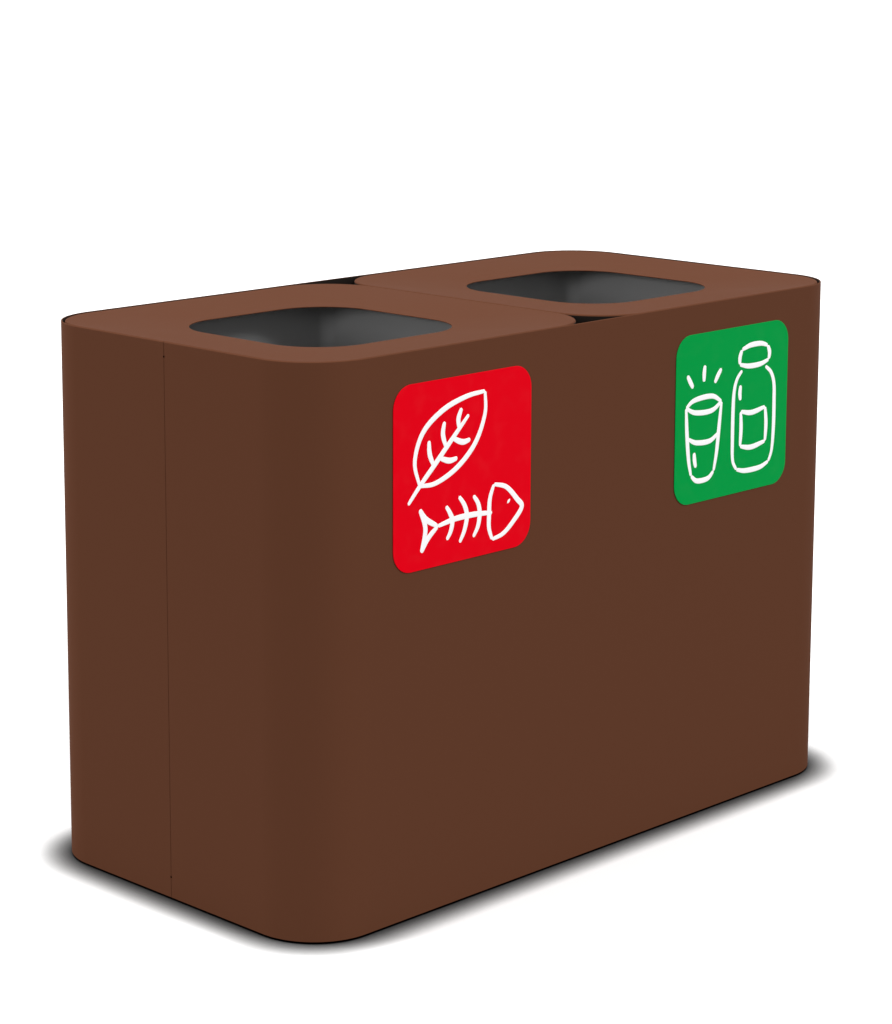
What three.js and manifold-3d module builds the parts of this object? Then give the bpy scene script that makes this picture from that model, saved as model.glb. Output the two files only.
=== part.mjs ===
// Double recycling bin. Two bent half wraps of sheet steel form the shell. It holds a base pan on rubber
// feet, a centre divider, two lift-out liners and two lift-off lids, and carries a label plate in front of
// each compartment.
// Millimetres, +Z up, X along the long side, the labels on the -Y face. The origin is on the floor, under
// the middle of the bin.

import * as THREE from 'three';
import { mergeVertices } from 'three/addons/utils/BufferGeometryUtils.js';
import Module from 'manifold-3d';

const wasm = await Module();
wasm.setup();

// ---------------------------------------------------------------- driving dimensions

// Shell, outside
const LENGTH = 730;
const DEPTH = 365;
const HEIGHT = 500; // floor to rim
const CORNER_RADIUS = 62;
const SHELL_SHEET = 1.5;
const FLOOR_GAP = 2; // floor to the shell's lower edge

// Side joints between the half wraps
const SEAM_GAP = 0.3;
const BUTT_GAP = 0.8; // between the plain edges above and below the reliefs
const JOINT_FLANGE = 16; // from the outside of the wall
const JOINT_BEND = 1.2; // outside radius
const RELIEF_DIAMETER = 4;
const RELIEF_BELOW_RIM = 13;
const RELIEF_ABOVE_EDGE = 19;
const RIVETS_PER_JOINT = 3;
const RIVET_TO_RELIEF = 60;

// Rivets
const RIVET_SHANK = 4;
const RIVET_HEAD = 8;
const RIVET_HEAD_HEIGHT = 1.6;
const RIVET_HOLE_CLEARANCE = 0.3; // radial

// Base pan and its feet
const PAN_SHEET = 1.5;
const PAN_TO_FLOOR = 4;
const PAN_TO_JOINT = 4; // from the pan's flange up to the reliefs
const PAN_BEND = 3; // outside radius
const FOOT_DIAMETER = 30;
const FOOT_STEM = 9;
const FOOT_BARB = 13;
const FOOT_BARB_HEIGHT = 3;
const FOOT_TO_FLANGE = 4;
const STEM_CLEARANCE = 0.3; // radial

// Lids
const LID_SHEET = 1;
const LID_GAP = 2; // to the shell
const LID_TO_LID = 1.5;
const LID_BELOW_RIM = 0.3;
const LID_TO_JOINT = 1.5; // from the lid's skirt down to the joint flanges
const LID_BEND = 2.4; // outside radius
const LID_FALL = 6; // from the edge of the lid to its opening
const OPENING = 200;
const OPENING_CORNER = 56;

// What carries the lids
const LEDGE_SHEET = 1.5;
const LEDGE_WIDTH = 16;
const LEDGE_LEG = 22;
const LEDGE_TO_BEND = 4; // from the end of a ledge to the shell's rounded corner
const BUFFER_DIAMETER = 9;
const BUFFER_PAD = 2;
const BUFFER_STEM = 4;
const BUFFER_BARB = 6;
const BUFFER_BARB_HEIGHT = 2;
const BUFFER_TO_CORNER = 16; // along X, from where the lid's corner starts
const BRIDGE_SHEET = 1.5;
const BRIDGE_WIDTH = 36;
const BRIDGE_LEG = 20;
const BRIDGE_TAB_GAP = 2.5; // from the tab's end to the ledge's leg

// Centre divider
const DIVIDER_SHEET = 1.5;
const DIVIDER_FLANGE = 20;
const DIVIDER_NOTCH = 14; // depth of the notches under the bridge's tabs
const DIVIDER_RIVETS = 3;
const DIVIDER_RIVET_TO_END = 48;

// Liners
const LINER_SHEET = 1;
const LINER_CLEARANCE = 8; // rim to what it passes on the way out
const LINER_DRAFT = 10; // each wall leans in by this much from rim to floor
const LINER_CORNER = 14;
const LINER_FLOOR_BEND = 4; // outside radius
const LINER_BEAD = 2.5; // radius of the rolled rim
const LINER_BELOW_OPENING = 8; // from the opening's lower edge

// Label plates
const LABEL_WIDTH = 171;
const LABEL_HEIGHT = 162;
const LABEL_SHEET = 0.8;
const LABEL_CORNER = 21;
const LABEL_BELOW_RIM = 28;
const LABEL_TO_SIDE = 94; // from the plate to the end of the shell

const SEAT_GAP = 0.3; // between pieces that touch

// Facets
const WRAP_STEPS = 8; // half of the facets in each rounded stretch of the shell's plan
const CORNER_STEPS = 8; // in each quarter turn of a loft's plan
const BEND_STEPS = 3;
const ROUND_STEPS = 12;

// ---------------------------------------------------------------- places worked out from them

const WALL_X = LENGTH / 2 - SHELL_SHEET; // inside of the shell
const WALL_Y = DEPTH / 2 - SHELL_SHEET;
const WALL_CORNER = CORNER_RADIUS - SHELL_SHEET;

const RELIEF_LOW = FLOOR_GAP + RELIEF_ABOVE_EDGE;
const RELIEF_HIGH = HEIGHT - RELIEF_BELOW_RIM;

const LID_TOP = HEIGHT - LID_BELOW_RIM;
const LID_EDGE = RELIEF_HIGH + LID_TO_JOINT; // lower edge of the skirt
const LID_HALF_X = (WALL_X - LID_GAP - LID_TO_LID / 2) / 2;
const LID_HALF_Y = WALL_Y - LID_GAP;
const LID_CORNER = WALL_CORNER - LID_GAP;
const COMPARTMENT_X = LID_TO_LID / 2 + LID_HALF_X;
const OPENING_TOP = LID_TOP - LID_FALL;
const OPENING_BOTTOM = OPENING_TOP - LID_SHEET;

const LEDGE_TOP = LID_EDGE - SEAT_GAP - BUFFER_PAD - SEAT_GAP;
const LEDGE_OUTSIDE = WALL_Y - SEAT_GAP;
const LEDGE_INSIDE = LEDGE_OUTSIDE - LEDGE_WIDTH;
const LEDGE_HALF_X = LENGTH / 2 - CORNER_RADIUS - LEDGE_TO_BEND;
const BUFFER_Y = LEDGE_OUTSIDE - LEDGE_SHEET - SEAT_GAP - BUFFER_DIAMETER / 2;
const BUFFER_X = LID_HALF_X - LID_CORNER - BUFFER_TO_CORNER;

const BRIDGE_TAB_TOP = LEDGE_TOP - LEDGE_SHEET - SEAT_GAP;
const BRIDGE_TAB_END = LEDGE_OUTSIDE - LEDGE_SHEET - BRIDGE_TAB_GAP;
const BRIDGE_RIVET_Y = (LEDGE_INSIDE + BRIDGE_TAB_END) / 2;

const PAN_FLOOR = PAN_TO_FLOOR + PAN_SHEET;
const PAN_EDGE = RELIEF_LOW - RELIEF_DIAMETER / 2 - PAN_TO_JOINT;
const PAN_HALF_X = WALL_X - SEAT_GAP;
const PAN_HALF_Y = WALL_Y - SEAT_GAP;
const PAN_CORNER = WALL_CORNER - SEAT_GAP;

const DIVIDER_HALF_Y = PAN_HALF_Y - PAN_SHEET - SEAT_GAP;
const DIVIDER_FOOT = PAN_FLOOR + SEAT_GAP;
const DIVIDER_TOP = LEDGE_TOP - BRIDGE_SHEET - SEAT_GAP;
const DIVIDER_RIVET_X = -(DIVIDER_FLANGE + DIVIDER_SHEET / 2) / 2;

const FOOT_REACH = (PAN_CORNER - PAN_SHEET - FOOT_TO_FLANGE - FOOT_DIAMETER / 2) * Math.SQRT1_2;
const FOOT_X = PAN_HALF_X - PAN_CORNER + FOOT_REACH;
const FOOT_Y = PAN_HALF_Y - PAN_CORNER + FOOT_REACH;

const LINER_ROOM_X = Math.min(
  COMPARTMENT_X - BRIDGE_WIDTH / 2,
  LENGTH / 2 - JOINT_FLANGE - COMPARTMENT_X,
);
const LINER_HALF = Math.min(LINER_ROOM_X, LEDGE_INSIDE) - LINER_CLEARANCE - 2 * LINER_BEAD;
const LINER_RIM = OPENING_BOTTOM - LINER_BELOW_OPENING;
const LINER_FOOT = PAN_FLOOR + SEAT_GAP;

// ---------------------------------------------------------------- finishes

function finish(color, roughness, metalness) {
  return new THREE.MeshStandardMaterial({ color, roughness, metalness });
}

const brownCoat = finish(0x6b4333, 0.5, 0.1);
const blackCoat = finish(0x24211f, 0.6, 0.1);
const greyCoat = finish(0x565656, 0.55, 0.2);
const zincSteel = finish(0xa9abad, 0.4, 0.8);
const blackRubber = finish(0x1c1c1c, 0.9, 0);
const redPlate = finish(0xdf0a1c, 0.4, 0);
const greenPlate = finish(0x029746, 0.4, 0);

// ---------------------------------------------------------------- geometry helpers

// Corner points of a rounded rectangle, anticlockwise, with the same count at any size.
function roundedRectangle(halfX, halfY, radius) {
  const points = [];
  const corners = [[1, 1], [-1, 1], [-1, -1], [1, -1]];
  corners.forEach(([signX, signY], quarter) => {
    for (let step = 0; step <= CORNER_STEPS; step += 1) {
      const angle = (quarter + step / CORNER_STEPS) * Math.PI / 2;
      points.push([
        signX * (halfX - radius) + radius * Math.cos(angle),
        signY * (halfY - radius) + radius * Math.sin(angle),
      ]);
    }
  });
  return points;
}

// Skins a list of level rounded rectangles { halfX, halfY, radius, z }. A closed loft joins the last one
// back to the first, and an open one gets a flat face over each end.
function loft(rings, closed) {
  const outlines = rings.map(({ halfX, halfY, radius }) => roundedRectangle(halfX, halfY, radius));
  const count = outlines[0].length;
  const positions = outlines.flatMap((outline, ring) => outline.flatMap(([x, y]) => [x, y, rings[ring].z]));
  const triangles = [];
  const lastRing = closed ? rings.length : rings.length - 1;
  for (let ring = 0; ring < lastRing; ring += 1) {
    const low = ring * count;
    const high = ((ring + 1) % rings.length) * count;
    for (let i = 0; i < count; i += 1) {
      const next = (i + 1) % count;
      triangles.push(low + i, low + next, high + next);
      triangles.push(low + i, high + next, high + i);
    }
  }
  if (!closed) {
    const start = positions.length / 3;
    const end = start + 1;
    const top = (rings.length - 1) * count;
    positions.push(0, 0, rings[0].z, 0, 0, rings.at(-1).z);
    for (let i = 0; i < count; i += 1) {
      const next = (i + 1) % count;
      triangles.push(start, next, i);
      triangles.push(end, top + i, top + next);
    }
  }
  const geometry = new THREE.BufferGeometry();
  geometry.setAttribute('position', new THREE.Float32BufferAttribute(positions, 3));
  geometry.setIndex(triangles);
  return geometry;
}

// Points of an arc as [across, up], with angles in quarter turns.
function arc(across, up, radius, from, to, steps = BEND_STEPS) {
  return Array.from({ length: steps + 1 }, (_, step) => {
    const angle = (from + (to - from) * step / steps) * Math.PI / 2;
    return [across + radius * Math.cos(angle), up + radius * Math.sin(angle)];
  });
}

// A plan or a profile extruded upwards from the level z.
function prism(shape, z, height) {
  const options = { depth: height, bevelEnabled: false, curveSegments: WRAP_STEPS };
  return new THREE.ExtrudeGeometry(shape, options).translate(0, 0, z);
}

function polygon(points) {
  return new THREE.Shape(points.map(([x, y]) => new THREE.Vector2(x, y)));
}

function block(x0, x1, y0, y1, z0, z1) {
  return new THREE.BoxGeometry(x1 - x0, y1 - y0, z1 - z0)
    .translate((x0 + x1) / 2, (y0 + y1) / 2, (z0 + z1) / 2);
}

// A round piece about the Z axis. Its profile of [radius, height] starts and ends on the axis and runs up.
function turned(profile) {
  const points = profile.map(([radius, height]) => new THREE.Vector2(radius, height));
  return new THREE.LatheGeometry(points, ROUND_STEPS).rotateX(Math.PI / 2);
}

function rod(diameter, length) {
  const radius = diameter / 2;
  return turned([[0, -length / 2], [radius, -length / 2], [radius, length / 2], [0, length / 2]]);
}

function toSolid(geometry) {
  const bare = geometry.clone();
  bare.deleteAttribute('normal');
  bare.deleteAttribute('uv');
  const merged = mergeVertices(bare, 1e-4);
  return new wasm.Manifold(new wasm.Mesh({
    numProp: 3,
    vertProperties: new Float32Array(merged.attributes.position.array),
    triVerts: new Uint32Array(merged.index.array),
  }));
}

function toGeometry(solid) {
  const { vertProperties, triVerts } = solid.getMesh();
  const geometry = new THREE.BufferGeometry();
  geometry.setAttribute('position', new THREE.BufferAttribute(vertProperties, 3));
  geometry.setIndex(new THREE.BufferAttribute(triVerts, 1));
  return geometry;
}

// Joins the geometries of the first list and cuts those of the second list out of them.
function carve(joined, cut) {
  const body = joined.map(toSolid).reduce((sum, solid) => sum.add(solid));
  return toGeometry(cut.map(toSolid).reduce((rest, solid) => rest.subtract(solid), body));
}

// Evenly spaced places from one level to another, or the middle for a single one.
function spread(count, from, to) {
  if (count === 1) return [(from + to) / 2];
  return Array.from({ length: count }, (_, i) => from + (to - from) * i / (count - 1));
}

// ---------------------------------------------------------------- fasteners and rubber parts

// A rivet about the Z axis, centred on the stack of sheets that it holds.
function rivet(stack) {
  const shank = RIVET_SHANK / 2;
  const head = RIVET_HEAD / 2;
  const half = stack / 2 + SEAT_GAP;
  const dome = arc(0, half, 1, 0, 1).map(([across, up]) => [
    across * head,
    half + (up - half) * RIVET_HEAD_HEIGHT,
  ]);
  const upper = [[shank, half], ...dome];
  upper[upper.length - 1][0] = 0;
  const lower = upper.map(([radius, height]) => [radius, -height]).reverse();
  return turned([...lower, ...upper]);
}

// A push-in rubber part: a pad below the sheet, a stem through it and a barb above it. Its sheet lies
// between the levels 0 and sheet.
function pushInPad({ pad, padHeight, stem, barb, barbHeight, sheet }) {
  const under = -SEAT_GAP;
  const over = sheet + SEAT_GAP;
  const edge = Math.min(1, padHeight / 3);
  return turned([
    [0, under - padHeight],
    [pad / 2 - edge, under - padHeight],
    [pad / 2, under - padHeight + edge],
    [pad / 2, under],
    [stem / 2, under],
    [stem / 2, over],
    [barb / 2, over],
    [stem / 2, over + barbHeight],
    [0, over + barbHeight],
  ]);
}

function foot() {
  return pushInPad({
    pad: FOOT_DIAMETER,
    padHeight: PAN_TO_FLOOR - SEAT_GAP,
    stem: FOOT_STEM,
    barb: FOOT_BARB,
    barbHeight: FOOT_BARB_HEIGHT,
    sheet: PAN_SHEET,
  });
}

// The buffer is upside down against a foot: its pad is on top of the ledge.
function lidBuffer() {
  return pushInPad({
    pad: BUFFER_DIAMETER,
    padHeight: BUFFER_PAD,
    stem: BUFFER_STEM,
    barb: BUFFER_BARB,
    barbHeight: BUFFER_BARB_HEIGHT,
    sheet: LEDGE_SHEET,
  }).rotateX(Math.PI);
}

function rivetHole(length) {
  return rod(RIVET_SHANK + 2 * RIVET_HOLE_CLEARANCE, length);
}

// ---------------------------------------------------------------- shell

// Plan of the front half wrap, with or without its joint flanges. Each end stops halfGap short of the
// middle of the side.
function wrapPlan(halfGap, flanged) {
  const x = LENGTH / 2;
  const y = DEPTH / 2;
  const r = CORNER_RADIUS;
  const plan = new THREE.Shape();
  plan.moveTo(-x, -halfGap - (flanged ? JOINT_BEND : 0));
  plan.lineTo(-x, r - y);
  plan.absarc(r - x, r - y, r, Math.PI, 1.5 * Math.PI, false);
  plan.lineTo(x - r, -y);
  plan.absarc(x - r, r - y, r, 1.5 * Math.PI, 2 * Math.PI, false);
  if (flanged) {
    plan.lineTo(x, -halfGap - JOINT_BEND);
    plan.absarc(x - JOINT_BEND, -halfGap - JOINT_BEND, JOINT_BEND, 0, Math.PI / 2, false);
    plan.lineTo(x - JOINT_FLANGE, -halfGap);
    plan.lineTo(x - JOINT_FLANGE, -halfGap - SHELL_SHEET);
    plan.lineTo(WALL_X, -halfGap - SHELL_SHEET);
  } else {
    plan.lineTo(x, -halfGap);
    plan.lineTo(WALL_X, -halfGap);
  }
  plan.lineTo(WALL_X, r - y);
  plan.absarc(x - r, r - y, WALL_CORNER, 0, -Math.PI / 2, true);
  plan.lineTo(r - x, -WALL_Y);
  plan.absarc(r - x, r - y, WALL_CORNER, -Math.PI / 2, -Math.PI, true);
  if (flanged) {
    plan.lineTo(-WALL_X, -halfGap - SHELL_SHEET);
    plan.lineTo(JOINT_FLANGE - x, -halfGap - SHELL_SHEET);
    plan.lineTo(JOINT_FLANGE - x, -halfGap);
    plan.lineTo(JOINT_BEND - x, -halfGap);
    plan.absarc(JOINT_BEND - x, -halfGap - JOINT_BEND, JOINT_BEND, Math.PI / 2, Math.PI, false);
  } else {
    plan.lineTo(-WALL_X, -halfGap);
    plan.lineTo(-x, -halfGap);
  }
  return plan;
}

const JOINT_RIVET_X = LENGTH / 2 - (JOINT_FLANGE + SHELL_SHEET) / 2;
const JOINT_RIVET_LEVELS = spread(
  RIVETS_PER_JOINT,
  RELIEF_LOW + RIVET_TO_RELIEF,
  RELIEF_HIGH - RIVET_TO_RELIEF,
);

// One half wrap. The rear one is the same piece turned round.
function halfWrap() {
  const plain = wrapPlan(BUTT_GAP / 2, false);
  const flanged = wrapPlan(SEAM_GAP / 2, true);
  const walls = [
    prism(plain, FLOOR_GAP, RELIEF_LOW - FLOOR_GAP),
    prism(flanged, RELIEF_LOW, RELIEF_HIGH - RELIEF_LOW),
    prism(plain, RELIEF_HIGH, HEIGHT - RELIEF_HIGH),
  ];
  const cuts = [];
  for (const side of [-1, 1]) {
    for (const level of [RELIEF_LOW, RELIEF_HIGH]) {
      const depth = 2 * (SHELL_SHEET + JOINT_BEND);
      cuts.push(rod(RELIEF_DIAMETER, depth).rotateY(Math.PI / 2).translate(side * LENGTH / 2, 0, level));
    }
    for (const level of JOINT_RIVET_LEVELS) {
      cuts.push(rivetHole(JOINT_FLANGE).rotateX(Math.PI / 2).translate(side * JOINT_RIVET_X, 0, level));
    }
  }
  return carve(walls, cuts);
}

// ---------------------------------------------------------------- base pan, divider, bridge and ledges

function basePan() {
  const rise = (offset, z) => ({
    halfX: PAN_HALF_X - offset,
    halfY: PAN_HALF_Y - offset,
    radius: PAN_CORNER - offset,
    z,
  });
  const outside = arc(-PAN_BEND, PAN_TO_FLOOR + PAN_BEND, PAN_BEND, -1, 0);
  const inside = arc(-PAN_BEND, PAN_TO_FLOOR + PAN_BEND, PAN_BEND - PAN_SHEET, 0, -1);
  const section = [...outside, [0, PAN_EDGE], [-PAN_SHEET, PAN_EDGE], ...inside];
  const tray = loft(section.map(([across, z]) => rise(-across, z)), false);
  const cuts = feetPlaces().map(([x, y]) => rod(FOOT_STEM + 2 * STEM_CLEARANCE, 4 * PAN_SHEET)
    .translate(x, y, PAN_FLOOR));
  for (const y of dividerRivetPlaces()) {
    cuts.push(rivetHole(4 * PAN_SHEET).translate(DIVIDER_RIVET_X, y, PAN_FLOOR));
  }
  return carve([tray], cuts);
}

function feetPlaces() {
  return [[-1, -1], [1, -1], [-1, 1], [1, 1]].map(([sideX, sideY]) => [sideX * FOOT_X, sideY * FOOT_Y]);
}

function dividerRivetPlaces() {
  const reach = DIVIDER_HALF_Y - DIVIDER_RIVET_TO_END;
  return spread(DIVIDER_RIVETS, -reach, reach);
}

// A folded panel across the shell, with a flange at each end and one along its foot. Its upper corners are
// notched for the bridge's tabs, and its lower ones for the bend of the pan.
function centreDivider() {
  const half = DIVIDER_SHEET / 2;
  const y = DIVIDER_HALF_Y;
  const plan = polygon([
    [-half, -y],
    [DIVIDER_FLANGE, -y],
    [DIVIDER_FLANGE, DIVIDER_SHEET - y],
    [half, DIVIDER_SHEET - y],
    [half, y - DIVIDER_SHEET],
    [DIVIDER_FLANGE, y - DIVIDER_SHEET],
    [DIVIDER_FLANGE, y],
    [-half, y],
  ]);
  const panel = prism(plan, DIVIDER_FOOT, DIVIDER_TOP - DIVIDER_FOOT);
  const footFlange = block(-DIVIDER_FLANGE, half, -y, y, DIVIDER_FOOT, DIVIDER_FOOT + DIVIDER_SHEET);
  const notchFrom = LEDGE_INSIDE - SEAT_GAP - BRIDGE_SHEET - SEAT_GAP;
  const notchFloor = DIVIDER_TOP - DIVIDER_NOTCH;
  const bendFrom = y - PAN_BEND;
  const bendTop = PAN_TO_FLOOR + PAN_BEND + SEAT_GAP;
  const reach = 2 * DIVIDER_FLANGE;
  const cuts = [
    block(-reach, reach, notchFrom, 2 * y, notchFloor, HEIGHT),
    block(-reach, reach, -2 * y, -notchFrom, notchFloor, HEIGHT),
    block(-reach, reach, bendFrom, 2 * y, 0, bendTop),
    block(-reach, reach, -2 * y, -bendFrom, 0, bendTop),
  ];
  for (const rivetY of dividerRivetPlaces()) {
    cuts.push(rivetHole(4 * DIVIDER_SHEET).translate(DIVIDER_RIVET_X, rivetY, DIVIDER_FOOT));
  }
  return carve([panel, footFlange], cuts);
}

// A channel, open below, that straddles the divider. Its top lies level with the ledges, and at each end
// it steps down into a tab under a ledge.
function centreBridge() {
  const end = LEDGE_INSIDE - SEAT_GAP;
  const under = LEDGE_TOP - BRIDGE_SHEET;
  const tabUnder = BRIDGE_TAB_TOP - BRIDGE_SHEET;
  const strip = polygon([
    [-BRIDGE_TAB_END, tabUnder],
    [BRIDGE_SHEET - end, tabUnder],
    [BRIDGE_SHEET - end, under],
    [end - BRIDGE_SHEET, under],
    [end - BRIDGE_SHEET, tabUnder],
    [BRIDGE_TAB_END, tabUnder],
    [BRIDGE_TAB_END, BRIDGE_TAB_TOP],
    [end, BRIDGE_TAB_TOP],
    [end, LEDGE_TOP],
    [-end, LEDGE_TOP],
    [-end, BRIDGE_TAB_TOP],
    [-BRIDGE_TAB_END, BRIDGE_TAB_TOP],
  ]);
  const half = BRIDGE_WIDTH / 2;
  const top = prism(strip, -half, BRIDGE_WIDTH).rotateY(Math.PI / 2).rotateX(Math.PI / 2);
  const legUnder = LEDGE_TOP - BRIDGE_LEG;
  const legs = [
    block(-half, BRIDGE_SHEET - half, -end, end, legUnder, LEDGE_TOP),
    block(half - BRIDGE_SHEET, half, -end, end, legUnder, LEDGE_TOP),
  ];
  const holes = [-1, 1].map((side) => rivetHole(4 * BRIDGE_SHEET)
    .translate(0, side * BRIDGE_RIVET_Y, BRIDGE_TAB_TOP));
  return carve([top, ...legs], holes);
}

// The front ledge, an angle along the wall. The rear one is the same piece turned round.
function lidLedge() {
  const section = polygon([
    [-LEDGE_OUTSIDE, LEDGE_TOP],
    [-LEDGE_OUTSIDE, LEDGE_TOP - LEDGE_LEG],
    [LEDGE_SHEET - LEDGE_OUTSIDE, LEDGE_TOP - LEDGE_LEG],
    [LEDGE_SHEET - LEDGE_OUTSIDE, LEDGE_TOP - LEDGE_SHEET],
    [-LEDGE_INSIDE, LEDGE_TOP - LEDGE_SHEET],
    [-LEDGE_INSIDE, LEDGE_TOP],
  ]);
  const angle = prism(section, -LEDGE_HALF_X, 2 * LEDGE_HALF_X).rotateY(Math.PI / 2).rotateX(Math.PI / 2);
  const holes = [rivetHole(4 * LEDGE_SHEET).translate(0, -BRIDGE_RIVET_Y, LEDGE_TOP)];
  for (const side of [-1, 1]) {
    for (const end of [-1, 1]) {
      const stemHole = rod(BUFFER_STEM + 2 * STEM_CLEARANCE, 4 * LEDGE_SHEET);
      holes.push(stemHole.translate(side * COMPARTMENT_X + end * BUFFER_X, -BUFFER_Y, LEDGE_TOP));
    }
  }
  return carve([angle], holes);
}

// ---------------------------------------------------------------- lids, liners and labels

// A square lid about its own middle: a skirt down from the edge, and a plate that falls evenly to the
// rounded square opening.
function lid() {
  const fromEdge = ([across, z]) => ({
    halfX: LID_HALF_X + across,
    halfY: LID_HALF_Y + across,
    radius: LID_CORNER + across,
    z,
  });
  const opening = (z) => ({ halfX: OPENING / 2, halfY: OPENING / 2, radius: OPENING_CORNER, z });
  const upperFace = [
    fromEdge([0, LID_EDGE]),
    ...arc(-LID_BEND, LID_TOP - LID_BEND, LID_BEND, 0, 1).map(fromEdge),
    opening(OPENING_TOP),
  ];
  const lowerFace = [
    opening(OPENING_BOTTOM),
    ...arc(-LID_BEND, LID_TOP - LID_BEND, LID_BEND - LID_SHEET, 1, 0).map(fromEdge),
    fromEdge([-LID_SHEET, LID_EDGE]),
  ];
  return loft([...upperFace, ...lowerFace], true);
}

// A square tub about its own middle, with leaning walls and a rim rolled outwards.
function liner() {
  const wallAt = (z) => LINER_HALF - LINER_DRAFT * (LINER_RIM - z) / (LINER_RIM - LINER_FOOT);
  const ring = (half, radius, z) => ({ halfX: half, halfY: half, radius, z });
  const bend = LINER_FLOOR_BEND;
  const floorHalf = wallAt(LINER_FOOT + bend);
  const beadLevel = LINER_RIM - LINER_BEAD;
  const outsideFloor = arc(-bend, LINER_FOOT + bend, bend, -1, 0)
    .map(([across, z]) => ring(floorHalf + across, LINER_CORNER + across, z));
  const bead = arc(LINER_BEAD, beadLevel, LINER_BEAD, -1, 2, 3 * BEND_STEPS)
    .map(([across, z]) => ring(LINER_HALF + across, LINER_CORNER + across, z));
  const neck = beadLevel - LINER_BEAD;
  const rimInside = ring(LINER_HALF - LINER_SHEET, LINER_CORNER - LINER_SHEET, beadLevel - LINER_BEAD);
  const insideFloor = arc(-bend, LINER_FOOT + bend, bend - LINER_SHEET, 0, -1)
    .map(([across, z]) => ring(floorHalf + across, LINER_CORNER + across, z));
  const rings = [
    ...outsideFloor,
    ring(wallAt(neck), LINER_CORNER, neck),
    ...bead,
    rimInside,
    ...insideFloor,
  ];
  return loft(rings, false);
}

// A flat plate with rounded corners, standing up with its back on the shell's front face.
function labelPlate() {
  const front = LABEL_SHEET + SEAT_GAP;
  const face = (z) => ({
    halfX: LABEL_WIDTH / 2,
    halfY: LABEL_HEIGHT / 2,
    radius: LABEL_CORNER,
    z,
  });
  return loft([face(SEAT_GAP), face(front)], false).rotateX(Math.PI / 2);
}

// ---------------------------------------------------------------- assembly

const bin = new THREE.Group();

function place(group, name, geometry, material, position = [0, 0, 0], rotation = [0, 0, 0]) {
  const mesh = new THREE.Mesh(geometry, material);
  mesh.name = name;
  mesh.position.set(...position);
  mesh.rotation.set(...rotation);
  group.add(mesh);
}

const HALF_TURN = [0, 0, Math.PI];

function addShell() {
  const wrap = halfWrap();
  place(bin, 'shell_front', wrap, brownCoat);
  place(bin, 'shell_rear', wrap, brownCoat, [0, 0, 0], HALF_TURN);
  const jointRivet = rivet(2 * SHELL_SHEET + SEAM_GAP).rotateX(Math.PI / 2);
  for (const [side, sideName] of [[-1, 'left'], [1, 'right']]) {
    JOINT_RIVET_LEVELS.forEach((level, i) => {
      const name = `joint_rivet_${sideName}_${i + 1}`;
      place(bin, name, jointRivet, zincSteel, [side * JOINT_RIVET_X, 0, level]);
    });
  }
}

function addBase() {
  place(bin, 'base_pan', basePan(), blackCoat);
  feetPlaces().forEach(([x, y], i) => {
    place(bin, `base_foot_${i + 1}`, foot(), blackRubber, [x, y, PAN_TO_FLOOR]);
  });
}

function addDivider() {
  place(bin, 'centre_divider', centreDivider(), blackCoat);
  const stack = PAN_SHEET + SEAT_GAP + DIVIDER_SHEET;
  dividerRivetPlaces().forEach((y, i) => {
    const position = [DIVIDER_RIVET_X, y, PAN_TO_FLOOR + stack / 2];
    place(bin, `divider_rivet_${i + 1}`, rivet(stack), zincSteel, position);
  });
}

function addLidSupports() {
  const ledge = lidLedge();
  place(bin, 'lid_ledge_front', ledge, blackCoat);
  place(bin, 'lid_ledge_rear', ledge, blackCoat, [0, 0, 0], HALF_TURN);
  place(bin, 'centre_bridge', centreBridge(), blackCoat);
  const stack = LEDGE_SHEET + SEAT_GAP + BRIDGE_SHEET;
  for (const [side, sideName] of [[-1, 'front'], [1, 'rear']]) {
    const position = [0, side * BRIDGE_RIVET_Y, LEDGE_TOP - stack / 2];
    place(bin, `bridge_rivet_${sideName}`, rivet(stack), blackCoat, position);
  }
}

// A compartment's lid, liner and buffers, built about the middle of the compartment.
function addCompartment(side, sideName) {
  const compartment = new THREE.Group();
  compartment.position.x = side * COMPARTMENT_X;
  bin.add(compartment);
  place(compartment, `lid_${sideName}`, lid(), brownCoat);
  place(compartment, `liner_${sideName}`, liner(), greyCoat);
  let count = 0;
  for (const y of [-BUFFER_Y, BUFFER_Y]) {
    for (const x of [-BUFFER_X, BUFFER_X]) {
      count += 1;
      place(compartment, `lid_buffer_${sideName}_${count}`, lidBuffer(), blackRubber, [x, y, LEDGE_TOP]);
    }
  }
}

function addLabels() {
  const middleX = LENGTH / 2 - LABEL_TO_SIDE - LABEL_WIDTH / 2;
  const middleZ = HEIGHT - LABEL_BELOW_RIM - LABEL_HEIGHT / 2;
  for (const [side, colourName, colour] of [[-1, 'red', redPlate], [1, 'green', greenPlate]]) {
    place(bin, `label_${colourName}`, labelPlate(), colour, [side * middleX, -DEPTH / 2, middleZ]);
  }
}

addShell();
addBase();
addDivider();
addLidSupports();
addCompartment(-1, 'left');
addCompartment(1, 'right');
addLabels();

export default bin;
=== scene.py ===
"""Double recycling bin of coated sheet steel.

Two half wraps on a base pan form the body. It holds a divider, ledges and a bridge for two lift-off lids,
two lift-out liners, and a coloured sign in front of each compartment.
Metres, +Z up, X along the long side, the signs on the -Y face, the origin on the floor under the middle.
"""

import math

import bmesh
import bpy
from bpy.props import FloatProperty, FloatVectorProperty, IntProperty, PointerProperty
from bpy.types import Operator, Panel, PropertyGroup
from mathutils import Matrix, Vector


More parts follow.
